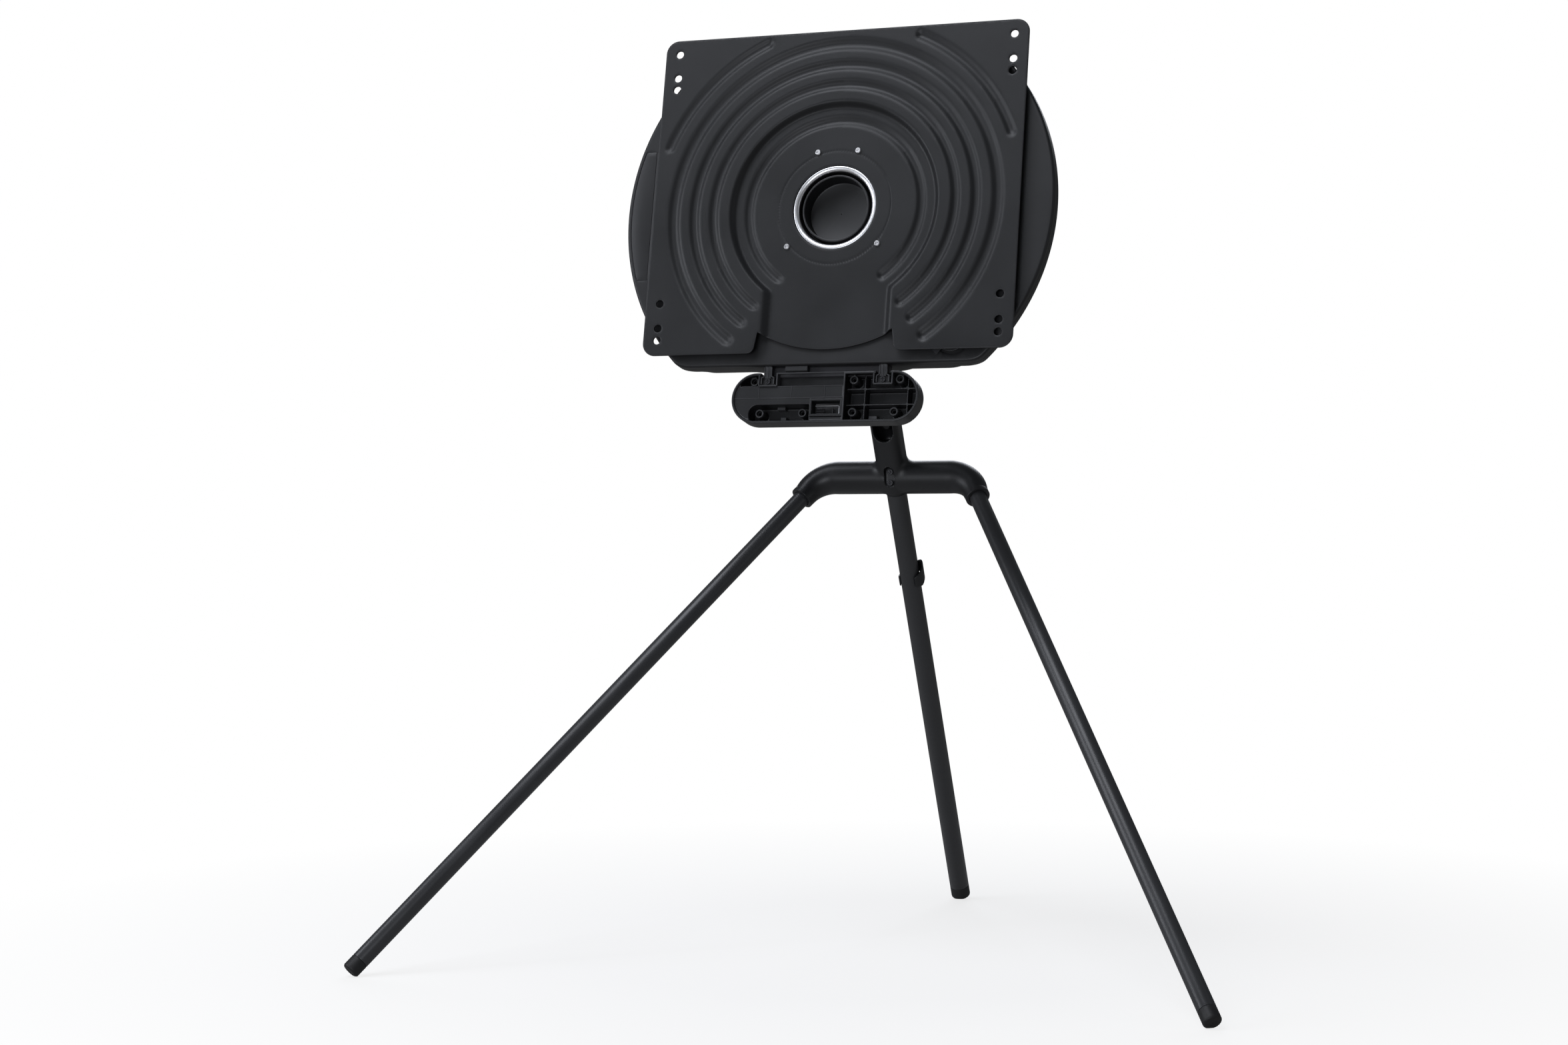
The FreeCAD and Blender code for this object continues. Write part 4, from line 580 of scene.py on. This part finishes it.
plate_loops = [(plate_outline(), None), (circle(BORE_R), None)]
plate_loops += [(circle(HOLE_R, x, rise, 0.7), None) for x in HOLE_XS for rise in HOLE_ROWS]
piece("mounting_plate", *sheet_mesh(plate_loops, plate_depth, SHEET, plate_fill()),
      "rotor", "powder_coat", ["vesa_plate"], sharp=40.0)


def screw_mesh(x, rise, face, radius, height, socket_r, deep, count=48):
    """A rounded screw head with a six-sided socket, its crown towards the plate's front."""
    start, axis, side = head_place(x, rise)
    other = np.cross(axis, side)
    angles = np.arange(count) * 2 * math.pi / count
    corner = np.abs((angles + math.pi / 6) % (math.pi / 3) - math.pi / 6)
    hexagon = socket_r * math.cos(math.pi / 6) / np.cos(corner)
    round_one = np.ones(count)
    crown = face - height
    rows = [(round_one * radius, face), (round_one * radius, face - height * 0.45),
            (round_one * radius * 0.9, face - height * 0.82), (round_one * radius * 0.74, crown),
            (hexagon + 0.25, crown), (hexagon, crown + 0.2),
            (hexagon, crown + deep), (round_one * 0.01, crown + deep * 1.12)]
    rim = np.cos(angles)[:, None] * side + np.sin(angles)[:, None] * other
    points = np.concatenate([start + rim * r[:, None] * MM + axis * a * MM for r, a in rows])
    faces = []
    for k in range(len(rows) - 1):
        faces += ring_faces(k * count, (k + 1) * count, count)
    faces.append(tuple(range(count)))
    return points, faces


turns = [math.radians(a) for a in SCREW_ANGLES]
heads = [screw_mesh(SCREW_CIRCLE * math.cos(a), SCREW_CIRCLE * math.sin(a), DISH_DEPTH,
                    radius=3.4, height=2.0, socket_r=1.6, deep=1.3) for a in turns]
piece("plate_screw_heads", *merged(heads), "rotor", "bright_steel", ["plate_screws"], sharp=30.0)
trim = [(43.0 + 4.7 * (1 - math.cos(a)), 11.0 - 3.6 * math.sin(a))
        for a in np.linspace(0, math.pi / 2, 10)]
trim += [(48.3, 7.5), (48.75, 7.8), (48.9, 8.3), (48.9, 12.5), (43.0, 12.5)]
piece("centre_trim", *lathe_mesh(trim, head_place(), 192), "rotor", "chrome_trim", ["trim_ring"],
      sharp=30.0)
cup = [(0.5, 32.0), (34.6, 32.0), (36.2, 31.4), (36.9, 29.8), (36.9, 11.8), (37.15, 11.25),
       (37.7, 11.0), (38.6, 11.0), (39.15, 11.25), (39.4, 11.8), (39.4, 43.5), (56.0, 43.5),
       (56.0, 37.1), (62.0, 37.1), (62.0, 46.0), (36.9, 46.0), (36.0, 34.5), (0.5, 34.5)]
piece("cable_cup", *lathe_mesh(cup, head_place(), 160), "head", "cover_plastic", ["centre_cup"])

# ------------------------------------------------------------------ covers
COVER_R, COVER_HALF, COVER_FRONT, COVER_KNEE = 252.7, 182.0, 10.0, 9.4
COVER_COUNT, COVER_SHEET = 480, 2.5
POCKET_R, POCKET_DEPTH = 127.0, 3.0
PANEL_EDGE, PANEL_HALF, PANEL_SHEET = -223.0, 77.0, 2.2
LATCH, LATCH_R = (145.0, -151.0), 22.5


def cover_ring(radius, half=COVER_HALF):
    """A circle with its top and bottom cut straight and its corners rounded."""
    angles = (np.arange(COVER_COUNT) + 0.5) * 2 * math.pi / COVER_COUNT
    chord = half / np.maximum(np.abs(np.sin(angles)), 1e-3)
    gap = np.clip(0.5 + 0.5 * (chord - radius) / COVER_KNEE, 0, 1)
    found = chord * (1 - gap) + radius * gap - COVER_KNEE * gap * (1 - gap)
    return np.stack([found * np.cos(angles), found * np.sin(angles)], 1)


def panel_outline(grow, clockwise=False):
    """The side panel's edge, or the hole for it where it is clockwise."""
    radius, half, edge = COVER_R - 5.0 + grow, PANEL_HALF + grow, PANEL_EDGE + grow
    spread = math.degrees(math.asin(half / radius))
    points = [(edge, half), *arc(0, 0, radius, 180 - spread, 180 + spread, 40), (edge, -half)]
    ring = resampled(points, 3.0)
    return ring[::-1] if clockwise else ring


def cover_depth(x, rise):
    """The depth of the front cover's face, with a round pocket in its middle."""
    return COVER_FRONT + POCKET_DEPTH * smooth((POCKET_R - np.hypot(x, rise)) / 0.9 + 0.1)


# The rims' (inset, depth) steps from the front face: the skirt's round, its end and its inside.
skirt = [(3.0 - 3.0 * math.sin(a), 3.0 - 3.0 * math.cos(a))
         for a in np.linspace(0, math.pi / 2, 7)]
skirt += [(0.0, 8.5), (0.25, 8.85), (0.8, 8.85), (2.5, 8.85), (3.0, COVER_SHEET)]
groove = [(0.3, 0.0), (0.05, 0.08), (0.0, 0.35), (0.0, 2.2), (0.3, COVER_SHEET)]
radii = [84, 88, 94, 100, 106, 112, 118, 123, 125, 125.8, 126.1, 126.3, 126.5, 126.7, 126.9, 127.2,
         128, 130, 134, 140, 147, 154, 162, 170, 178, 186, 194, 202, 210, 218, 226, 234, 242, 247]
front_loops = [(cover_ring(COVER_R), skirt), (circle(82.0, step=2.0), groove),
               (panel_outline(0.3, True), groove), (circle(LATCH_R, *LATCH), groove)]
face = sheet_mesh(front_loops, cover_depth, COVER_SHEET, rings_of_points(radii, 5.0))
tab = ridge((-47.0, -185.0), (-21.0, -185.0), width=6.6, front=12.5, back=19.0, cut=0.9)
piece("front_cover", *merged([face, tab]), "head", "cover_plastic", ["housing_front"], sharp=30.0)
no_fill = np.zeros((1, 2))
door = sheet_mesh([(panel_outline(0.0), None)], level(COVER_FRONT), PANEL_SHEET, no_fill)
piece("side_door", *door, "head", "cover_plastic", ["side_panel"], sharp=30.0)
well = [(LATCH_R - 0.1, 10.6), (LATCH_R - 0.2, 13.2), (LATCH_R - 0.5, 13.5), (0.5, 13.5),
        (0.5, 15.0), (LATCH_R + 1.2, 15.0), (LATCH_R + 1.2, 12.7), (LATCH_R + 0.05, 12.6)]
piece("latch_well", *lathe_mesh(well, head_place(*LATCH), 96), "head", "cover_plastic")
softened("cable_latch", "round_latch", "head", width=0.45)
pointer = [(121.5, -165.0), (128.0, -173.2), (128.7, -173.6), (129.4, -173.2), (136.0, -165.0)]
wedge = [head_points(*zip(*pointer), depth) for depth in (9.7, 11.0)]
piece("latch_pointer", np.concatenate(wedge),
      ring_faces(0, 5, 5) + [tuple(range(5)), tuple(range(9, 4, -1))], "head", "chip_black")


# The rear cover's (radius, depth) steps from its skirt to its back, and the power inlet's hole.
REAR_STEPS = [(252.7, 19.15), (252.7, 27.0), (252.0, 28.0), (250.5, 29.0), (236.7, 36.0),
              (202.0, 47.2), (168.0, 58.0), (163.0, 61.0), (157.5, 64.0), (152.0, 65.7),
              (149.0, 66.0)]
REAR_FLAT_R, REAR_FLAT_FRONT = 149.0, 63.5
INLET_HOLE = [(-44.3, -112.3), (-44.3, -91.7), (-15.7, -91.7), (-15.7, -112.3)]


def rear_shell():
    """The rear cover: a flat round back, a sloping shoulder and a skirt up to the front cover."""
    outer = [(cover_ring(r), d) for r, d in REAR_STEPS]
    inner = [(cover_ring(r - COVER_SHEET, COVER_HALF - COVER_SHEET),
              d - (COVER_SHEET if d > 28 else 0)) for r, d in REAR_STEPS]
    order = outer + inner[::-1]
    points = [head_points(ring[:, 0], ring[:, 1], depth) for ring, depth in order]
    faces = []
    for k in range(len(order)):
        if k != len(outer) - 1:
            following = (k + 1) % len(order)
            faces += ring_faces(k * COVER_COUNT, following * COVER_COUNT, COVER_COUNT)
    rim = [(0.0, 0.0), (0.0, 1.2), (0.0, COVER_SHEET)]
    loops = [(cover_ring(REAR_FLAT_R), rim), (resampled(INLET_HOLE, 3.0), None)]
    flat = sheet_mesh(loops, level(REAR_FLAT_FRONT), COVER_SHEET,
                      rings_of_points(np.arange(12, 146, 9), 9.0))
    return merged([(np.concatenate(points), faces), flat])


piece("rear_cover", *rear_shell(), "head", "cover_plastic", ["housing_rear"], sharp=30.0)

# ------------------------------------------------------------------ small fittings of the head
TRAY_X, TRAY_RISE, TRAY_HALF_W, TRAY_HALF_H = 0.5, -218.4, 109.5, 29.0
TRAY_FRONT, TRAY_FLOOR, TRAY_WALL = 13.0, 36.2, 1.6
SHELF, SHELF_EDGE, SHELF_RIGHT = 15.0, TRAY_RISE + 14.0, 22.6
HOOKS, HOOK_GAP = (-67.0, 68.0), 10.6
UPPER_BOSSES, LOWER_BOSSES = (-85.0, 32.6, 86.0), (-76.5, -25.8, 32.6, 81.0)
SEAM_XS, SEAM_WIDTH = (-77.0, -38.8, 0.6), 0.9
# Each tab in the tray's pockets: its two ends, its rise and its height.
TABS = ((-58.5, -49.5, -226.5, 5.0), (-53.6, -47.6, -241.2, 7.6), (49.8, 58.8, -241.2, 7.6))


def tray_rims(top):
    """The tray's rounded edge, open at its hooks and thin along its shelf."""
    right_x, left_x = TRAY_X + TRAY_HALF_W - TRAY_HALF_H, TRAY_X - TRAY_HALF_W + TRAY_HALF_H
    rim = [(0.05, 15.0), (0.05, 13.6), (0.5, 12.95), (1.2, 12.8), (2.2, 12.9), (2.75, 13.4),
           (2.75, 15.0)]
    thin = [(0.05, 15.0), (0.05, 13.3), (0.4, 12.9), (1.2, 12.9), (1.6, 13.3), (1.6, 15.0)]
    around = [(HOOKS[0] - HOOK_GAP, top), *arc(left_x, TRAY_RISE, TRAY_HALF_H, 90, 270, 48),
              *arc(right_x, TRAY_RISE, TRAY_HALF_H, -90, 90, 48), (HOOKS[1] + HOOK_GAP, top)]
    return [strip(around, rim), strip([(HOOKS[1] - HOOK_GAP, top), (SHELF_RIGHT, top)], rim),
            strip([(SHELF_RIGHT, top), (HOOKS[0] + HOOK_GAP, top)], thin)]


def tray_details():
    """The tray's crisp rim, the fine ribs on its shelf, its hooks' frames, tabs and boss lips."""
    top, low = TRAY_RISE + TRAY_HALF_H, TRAY_RISE - TRAY_HALF_H
    parts = tray_rims(top)
    seams = [((TRAY_X - TRAY_HALF_W + 2.6, TRAY_RISE), (SHELF_RIGHT, TRAY_RISE))]
    seams += [((x, TRAY_RISE), (x, SHELF_EDGE)) for x in SEAM_XS]
    seams += [((-98.0, SHELF_EDGE), (HOOKS[0] + HOOK_GAP, SHELF_EDGE)),
              ((HOOKS[0] + HOOK_GAP, SHELF_EDGE - 0.6), (SHELF_RIGHT, SHELF_EDGE - 0.6))]
    parts += [ridge(a, b, SEAM_WIDTH, SHELF - 0.45, SHELF + 1.0) for a, b in seams]
    frames = []
    for x in HOOKS:
        frames += [((x + side * HOOK_GAP, top - 0.4), (x + side * HOOK_GAP, SHELF_EDGE))
                   for side in (-1, 1)]
        frames.append(((x - HOOK_GAP, SHELF_EDGE + 0.2), (x + HOOK_GAP, SHELF_EDGE + 0.2)))
    parts += [ridge(a, b, TRAY_WALL, TRAY_FRONT, 24.0) for a, b in frames]
    divider = SHELF_RIGHT + 0.8
    parts.append(ridge((divider, top - 2.0), (divider, low + 2.0), TRAY_WALL, 12.9, 20.0))
    parts += [ridge((x0, rise), (x1, rise), tall, 28.0, TRAY_FLOOR + 0.5, 0.4)
              for x0, x1, rise, tall in TABS]
    lip = [(3.0, 19.6), (3.35, 19.0), (4.55, 18.85), (5.05, 19.3), (5.05, 24.0), (3.0, 24.0)]
    bore = [(1.9, 22.2), (2.1, 22.0), (2.5, 22.0), (3.1, 22.6), (3.1, 26.0), (1.9, 26.0)]
    bosses = [(x, TRAY_RISE + 20.5) for x in UPPER_BOSSES]
    bosses += [(x, TRAY_RISE - 16.5) for x in LOWER_BOSSES]
    for x, rise in bosses:
        parts += [lathe_mesh(lip, head_place(x, rise), 40),
                  lathe_mesh(bore, head_place(x, rise), 32)]
    return merged(parts)


tray = remeshed("accessory_tray", "tray_shell", "head", voxel=0.6, passes=4, sharp=55.0)
join_into(tray, tray_details())
bridge = ridge((-70.0, -187.0), (72.0, -187.0), width=12.0, front=21.5, back=31.0, cut=0.8)
piece("tray_bridge", *bridge, "head", "chip_black")
# Small nodes keep their shapes, with their edges rounded by these widths.
for node, width in (("connector_frame", 0.35), ("power_inlet", 0.3),
                    ("tilt_bracket", 0.5), ("bracket_bolts", 0.3), ("tilt_bolt", 0.4),
                    ("tilt_nut", 0.4), ("friction_washers", 0.3), ("hook_screws", 0.15)):
    softened(node, "soft_" + node, "head", width)

# The socket in the tray: a bent bright shield round three dark bars and an upright one.
shield = [(-11.5, -226.2), (2.0, -226.2), *arc(15.4, -227.8, 1.6, 90, 0, 6), (17.0, -232.0),
          (17.0, -236.3)]
wall = [(0.0, 28.4), (0.0, 21.4), (-0.2, 21.1), (-0.7, 21.1), (-0.9, 21.4), (-0.9, 28.4)]
piece("connector_shield", *strip(shield, wall), "head", "bright_steel", ["connector_contacts"],
      sharp=30.0)
bars = [((-11.5, rise), (-2.0, rise)) for rise in (-229.0, -231.6, -234.2)]
bars.append(((7.5, -229.0), (7.5, -234.5)))
bars = [ridge(a, b, width=1.3, front=25.5, back=28.6) for a, b in bars]
piece("connector_bars", *merged(bars), "head", "chip_black")

# Each hook has a T-shaped ridge on its front.
ridges = []
for x in HOOKS:
    ridges.append(ridge((x, -183.0), (x, -196.0), width=1.2, front=12.0, back=13.5))
    for side in (-1, 1):
        corners = [(x + side * 4.0, -183.0), (x + side * 4.0, -193.6), (x + side * 7.2, -195.2),
                   (x + side * 7.2, -202.4)]
        ridges += [ridge(a, b, width=1.3, front=12.0, back=15.5)
                   for a, b in zip(corners, corners[1:])]
softened("hook_clips", "tray_clips", "head", width=0.25, extra=merged(ridges))

# ------------------------------------------------------------------ stand
LEG_SIDES = ("right", "left", "rear")
LEG_WALL, CAP_LENGTH, PLUG_LENGTH = 1.8, 16.0, 12
BAR = np.array([0.0, 0.103745, 0.543056])
NECK_LEAN = math.radians(26.82)
NECK = np.array([0.0, -math.sin(NECK_LEAN), math.cos(NECK_LEAN)])
# Where the casting's soft joins are along the neck from the bar's middle, and how far they reach,
# in metres: the neck's root and the flange under the bar.
ROOT, ROOT_REACH, FLANGE, FLANGE_REACH = 0.024, 0.02, -0.017, 0.006
# The recess for the hub's screws: half its width, half its straight run, and depths from the bar's
# middle, in mm.
WELL_HALF, WELL_REACH, WELL_FLOOR, WELL_FACE = 6.0, 6.35, 15.8, 17.0


def corners_of(node):
    return np.array([v.co[:] for v in NODES[node].data.vertices])


def along_and_away(co, start, direction):
    """How far points lie along an axis, and how far from it."""
    along = (co - start) @ direction
    return along, np.linalg.norm(co - start - np.outer(along, direction), axis=1)


def axis_of(node):
    """Start, direction (downwards), length and radius of a tube, from its own mesh, in metres."""
    co = corners_of(node)
    centre = (co.min(0) + co.max(0)) / 2
    direction = np.linalg.svd(co - co.mean(0), full_matrices=False)[2][0]
    direction *= -np.sign(direction[2])
    along, away = along_and_away(co, centre, direction)
    return centre + direction * along.min(), direction, along.max() - along.min(), away.max()


def tube_place(start, direction):
    across = np.cross(direction, [0.0, 1.0, 0.0])
    return start, direction, across / np.linalg.norm(across)


for side in LEG_SIDES:
    node = "leg_" + side
    start, direction, length, radius = axis_of(node)
    place = tube_place(start, direction)
    r, end = radius / MM, length / MM
    bore = r - LEG_WALL
    tube = [(bore, 0), (r - 0.3, 0), (r, 0.3), (r, end - 0.7), (r - 0.15, end - 0.3),
            (r - 0.5, end - 0.1), (bore, end - 0.1)]
    piece(node + "_tube", *lathe_mesh(tube, place, 72), "stand", "tube_paint", [node], sharp=30.0)
    shoulder = end + CAP_LENGTH - 3.0
    cap = [(0.4, end - PLUG_LENGTH), (r - 2.0, end - PLUG_LENGTH), (r - 2.0, end),
           (r - 0.5, end + 0.02), (r - 0.12, end + 0.25), (r, end + 0.7), (r, shoulder)]
    cap += [(r - 3 + 3 * math.cos(a), shoulder + 3 * math.sin(a))
            for a in np.linspace(0.15, math.pi / 2, 9)]
    cap += [(r - 5.5, end + CAP_LENGTH), (r - 6.0, end + 15.6), (0.4, end + 15.6)]
    points, faces = lathe_mesh(cap, place, 72)
    # The cap is cut off level where it stands on the floor.
    points[:, 2] = np.maximum(points[:, 2], 0.0)
    piece("cap_" + side, points, faces, "stand", "foot_rubber", ["foot_" + side], sharp=30.0)


def hub_flow(co):
    """Strong where the neck and the flange grow out of the bar, and none at crisp openings."""
    along = (co - BAR) @ NECK
    off = np.abs(co[:, 0])
    ring = np.exp(-((along - ROOT) / ROOT_REACH) ** 4) * smooth(1 - (off - 0.03) / 0.02)
    under = np.exp(-((along - FLANGE) / FLANGE_REACH) ** 2) * smooth(1 - (off - 0.02) / 0.012)
    near_well = np.abs(co[:, 2] - BAR[2]) < 0.017
    well = (off < 0.009) & (co[:, 1] < BAR[1] - 0.008) & near_well
    return np.where((off < 0.055) & ~well, np.maximum(ring, 0.7 * under), 0.0)


def end_ring(start, direction, bore):
    """A crisp rounded lip round a tube, where the casting ends."""
    along, away = along_and_away(corners_of("hub"), start, direction)
    near = (away < 0.0225) & (along > 0.0)
    end = along[near].max()
    outer = away[near & (along > end - 0.001)].max() / MM
    end /= MM
    profile = [(bore, end - 6.0), (bore, end - 0.5), (bore + 0.5, end), (outer - 0.8, end),
               (outer - 0.2, end - 0.25), (outer, end - 0.8), (outer, end - 4.5),
               (outer - 0.25, end - 6.0)]
    return lathe_mesh(profile, tube_place(start, direction), 96)


def hub_well():
    """The rounded recess for the two screws, with a raised rim that follows the casting."""
    casting = BVHTree.FromObject(hub, bpy.context.evaluated_depsgraph_get())
    x, z = BAR[0] / MM, BAR[2] / MM
    path = resampled(arc(x, z + WELL_REACH, WELL_HALF, 0, 180, 16)
                     + arc(x, z - WELL_REACH, WELL_HALF, 180, 360, 16), 1.0)
    away = -inward(path)

    def face_y(ring):
        """Where the casting's front is at each point of a ring, or the bar's own front."""
        found = [casting.ray_cast(Vector((x * MM, -0.5, z * MM)), Vector((0, 1, 0)))[0][1]
                 for x, z in ring]
        return np.minimum(found, BAR[1] - WELL_FACE * MM)

    lip_y = face_y(path + away * 0.75)
    floor_y = BAR[1] - WELL_FLOOR * MM
    rows = [(0.9, face_y(path + away * 0.9) + 0.25 * MM), (0.75, lip_y - 0.22 * MM),
            (0.3, lip_y - 0.3 * MM), (0.05, lip_y - 0.05 * MM), (0.0, lip_y + 0.5 * MM),
            (0.0, floor_y), (0.0, floor_y + 1.5 * MM)]
    count, points, faces = len(path), [], []
    for grow, y in rows:
        ring = path + away * grow
        points.append(np.stack([ring[:, 0] * MM, np.broadcast_to(y, count), ring[:, 1] * MM], 1))
    for k in range(len(rows) - 1):
        faces += ring_faces(k * count, (k + 1) * count, count)
    faces.append(tuple(range((len(rows) - 1) * count, len(rows) * count)))
    return np.concatenate(points), faces


hub = remeshed("hub", "hub_casting", "stand", voxel=0.95, passes=240, weight=hub_flow, sharp=50.0)
lips = []
for side in LEG_SIDES:
    start, direction, _, radius = axis_of("leg_" + side)
    lips.append(end_ring(start, direction, radius / MM + 0.25))
join_into(hub, merged(lips))
piece("hub_recess", *hub_well(), "stand", "cast_paint", sharp=30.0)
remeshed("cable_clip", "leg_clip", "stand", voxel=0.45, passes=8)
softened("mast", "neck_tube", "stand", width=0.5)
softened("tilt_knuckle", "neck_knuckle", "stand", width=0.6)
softened("hub_screws", "hub_screw_heads", "stand", width=0.2)

# ------------------------------------------------------------------ floor, light and camera
AIM, LOW_AIM = (0.0, 0.0, 0.65), (0.0, 0.0, 0.3)
COOL = (0.95, 0.98, 1.06)
WHITE = (1.0, 1.0, 1.0, 1)
# Each light: its name, place, target, width and height in metres, and power in watts.
LIGHTS = (("over", (-0.8, -1.3, 3.3), AIM, 2.2, 1.4, 45),
          ("left_front", (-2.7, -1.7, 1.5), AIM, 1.1, 2.2, 32),
          ("right_strip", (2.9, -0.3, 1.3), AIM, 0.6, 2.4, 3),
          ("low_front", (0.0, -4.2, 0.45), LOW_AIM, 2.2, 0.8, 34),
          ("back", (-0.8, 3.2, 2.2), AIM, 2.2, 1.6, 52))
FLOOR_R, FLOOR_DROP, FLOOR_COUNT = 60, 0.0005, 96
# The floor's own shading fades into white between these distances from the middle, in metres.
FADE_FROM, FADE_TO, FADE_START = 0.35, 1.2, 0.72
# The photograph's camera, in radians and metres.
YAW, PITCH, ROLL = 0.348, -0.013, -0.007
EYE = Vector((1.0028, -3.0487, 0.533))
LENS, SENSOR = 63.41, 36.0


def area_light(name, place, target, width, height, power):
    data = bpy.data.lights.new(name, "AREA")
    data.shape = "RECTANGLE"
    data.size = width
    data.size_y = height
    data.energy = power
    data.color = COOL
    obj = bpy.data.objects.new(name, data)
    SCENE.collection.objects.link(obj)
    obj.location = place
    obj.rotation_euler = (Vector(target) - Vector(place)).to_track_quat("-Z", "Y").to_euler()


def seen_white(tree, other, kind):
    """A shader that looks paper white and lights the object like the other one."""
    white = node_of(tree, kind, Color=WHITE, Strength=1.0)
    path = node_of(tree, "ShaderNodeLightPath")
    pick = node_of(tree, "ShaderNodeMixShader")
    tree.links.new(path.outputs["Is Camera Ray"], pick.inputs["Fac"])
    tree.links.new(other, pick.inputs[1])
    tree.links.new(white.outputs[0], pick.inputs[2])
    return pick.outputs[0]


def pale_surround():
    world = bpy.data.worlds.new("studio")
    SCENE.world = world
    world.use_nodes = True
    tree = world.node_tree
    dim = tree.nodes["Background"]
    dim.inputs["Color"].default_value = (0.9, 0.95, 1.0, 1)
    dim.inputs["Strength"].default_value = 0.11
    tree.links.new(seen_white(tree, dim.outputs[0], "ShaderNodeBackground"),
                   tree.nodes["World Output"].inputs["Surface"])


def paper_material():
    """Pale paper that takes the object's shadow and fades into the white surround."""
    paper = bpy.data.materials.new("pale_floor")
    paper.use_nodes = True
    tree = paper.node_tree
    shader = tree.nodes["Principled BSDF"]
    shader.inputs["Base Color"].default_value = (0.96, 0.96, 0.96, 1)
    shader.inputs["Roughness"].default_value = 0.85
    shader.inputs["Specular IOR Level"].default_value = 0.1
    glow = node_of(tree, "ShaderNodeEmission", Strength=0.16)
    coords = node_of(tree, "ShaderNodeTexCoord").outputs["Object"]
    distance = node_of(tree, "ShaderNodeVectorMath", operation="LENGTH")
    tree.links.new(coords, distance.inputs[0])
    fade = ranged(tree, distance.outputs["Value"], FADE_FROM, FADE_TO, FADE_START, 1.0)
    mixer = node_of(tree, "ShaderNodeMixShader")
    tree.links.new(fade, mixer.inputs["Fac"])
    tree.links.new(shader.outputs[0], mixer.inputs[1])
    tree.links.new(seen_white(tree, glow.outputs[0], "ShaderNodeEmission"), mixer.inputs[2])
    tree.links.new(mixer.outputs[0], tree.nodes["Material Output"].inputs["Surface"])
    return paper


def photo_camera():
    """The camera at the photograph's place, turned by its yaw, pitch and roll."""
    ahead = Vector((-math.sin(YAW) * math.cos(PITCH), math.cos(YAW) * math.cos(PITCH),
                    math.sin(PITCH)))
    level_right = Vector((math.cos(YAW), math.sin(YAW), 0))
    upward = level_right.cross(ahead)
    right = level_right * math.cos(ROLL) + upward * math.sin(ROLL)
    up = upward * math.cos(ROLL) - level_right * math.sin(ROLL)
    data = bpy.data.cameras.new("camera")
    data.lens = LENS
    data.sensor_width = SENSOR
    data.clip_end = 200.0
    found = bpy.data.objects.new("camera", data)
    SCENE.collection.objects.link(found)
    turn = Matrix((right, up, -ahead)).transposed().to_4x4()
    found.matrix_world = Matrix.Translation(EYE) @ turn
    return found


for light in LIGHTS:
    area_light(*light)
pale_surround()
floor_mesh = bpy.data.meshes.new("floor")
floor_rim = [(FLOOR_R * math.cos(a), FLOOR_R * math.sin(a), -FLOOR_DROP)
             for a in np.linspace(0, 2 * math.pi, FLOOR_COUNT + 1)[:-1]]
floor_mesh.from_pydata(floor_rim, [], [tuple(range(FLOOR_COUNT))])
floor_mesh.materials.append(paper_material())
floor = bpy.data.objects.new("floor", floor_mesh)
SCENE.collection.objects.link(floor)
camera = photo_camera()
SCENE.camera = camera
SCENE.view_settings.view_transform = "Standard"
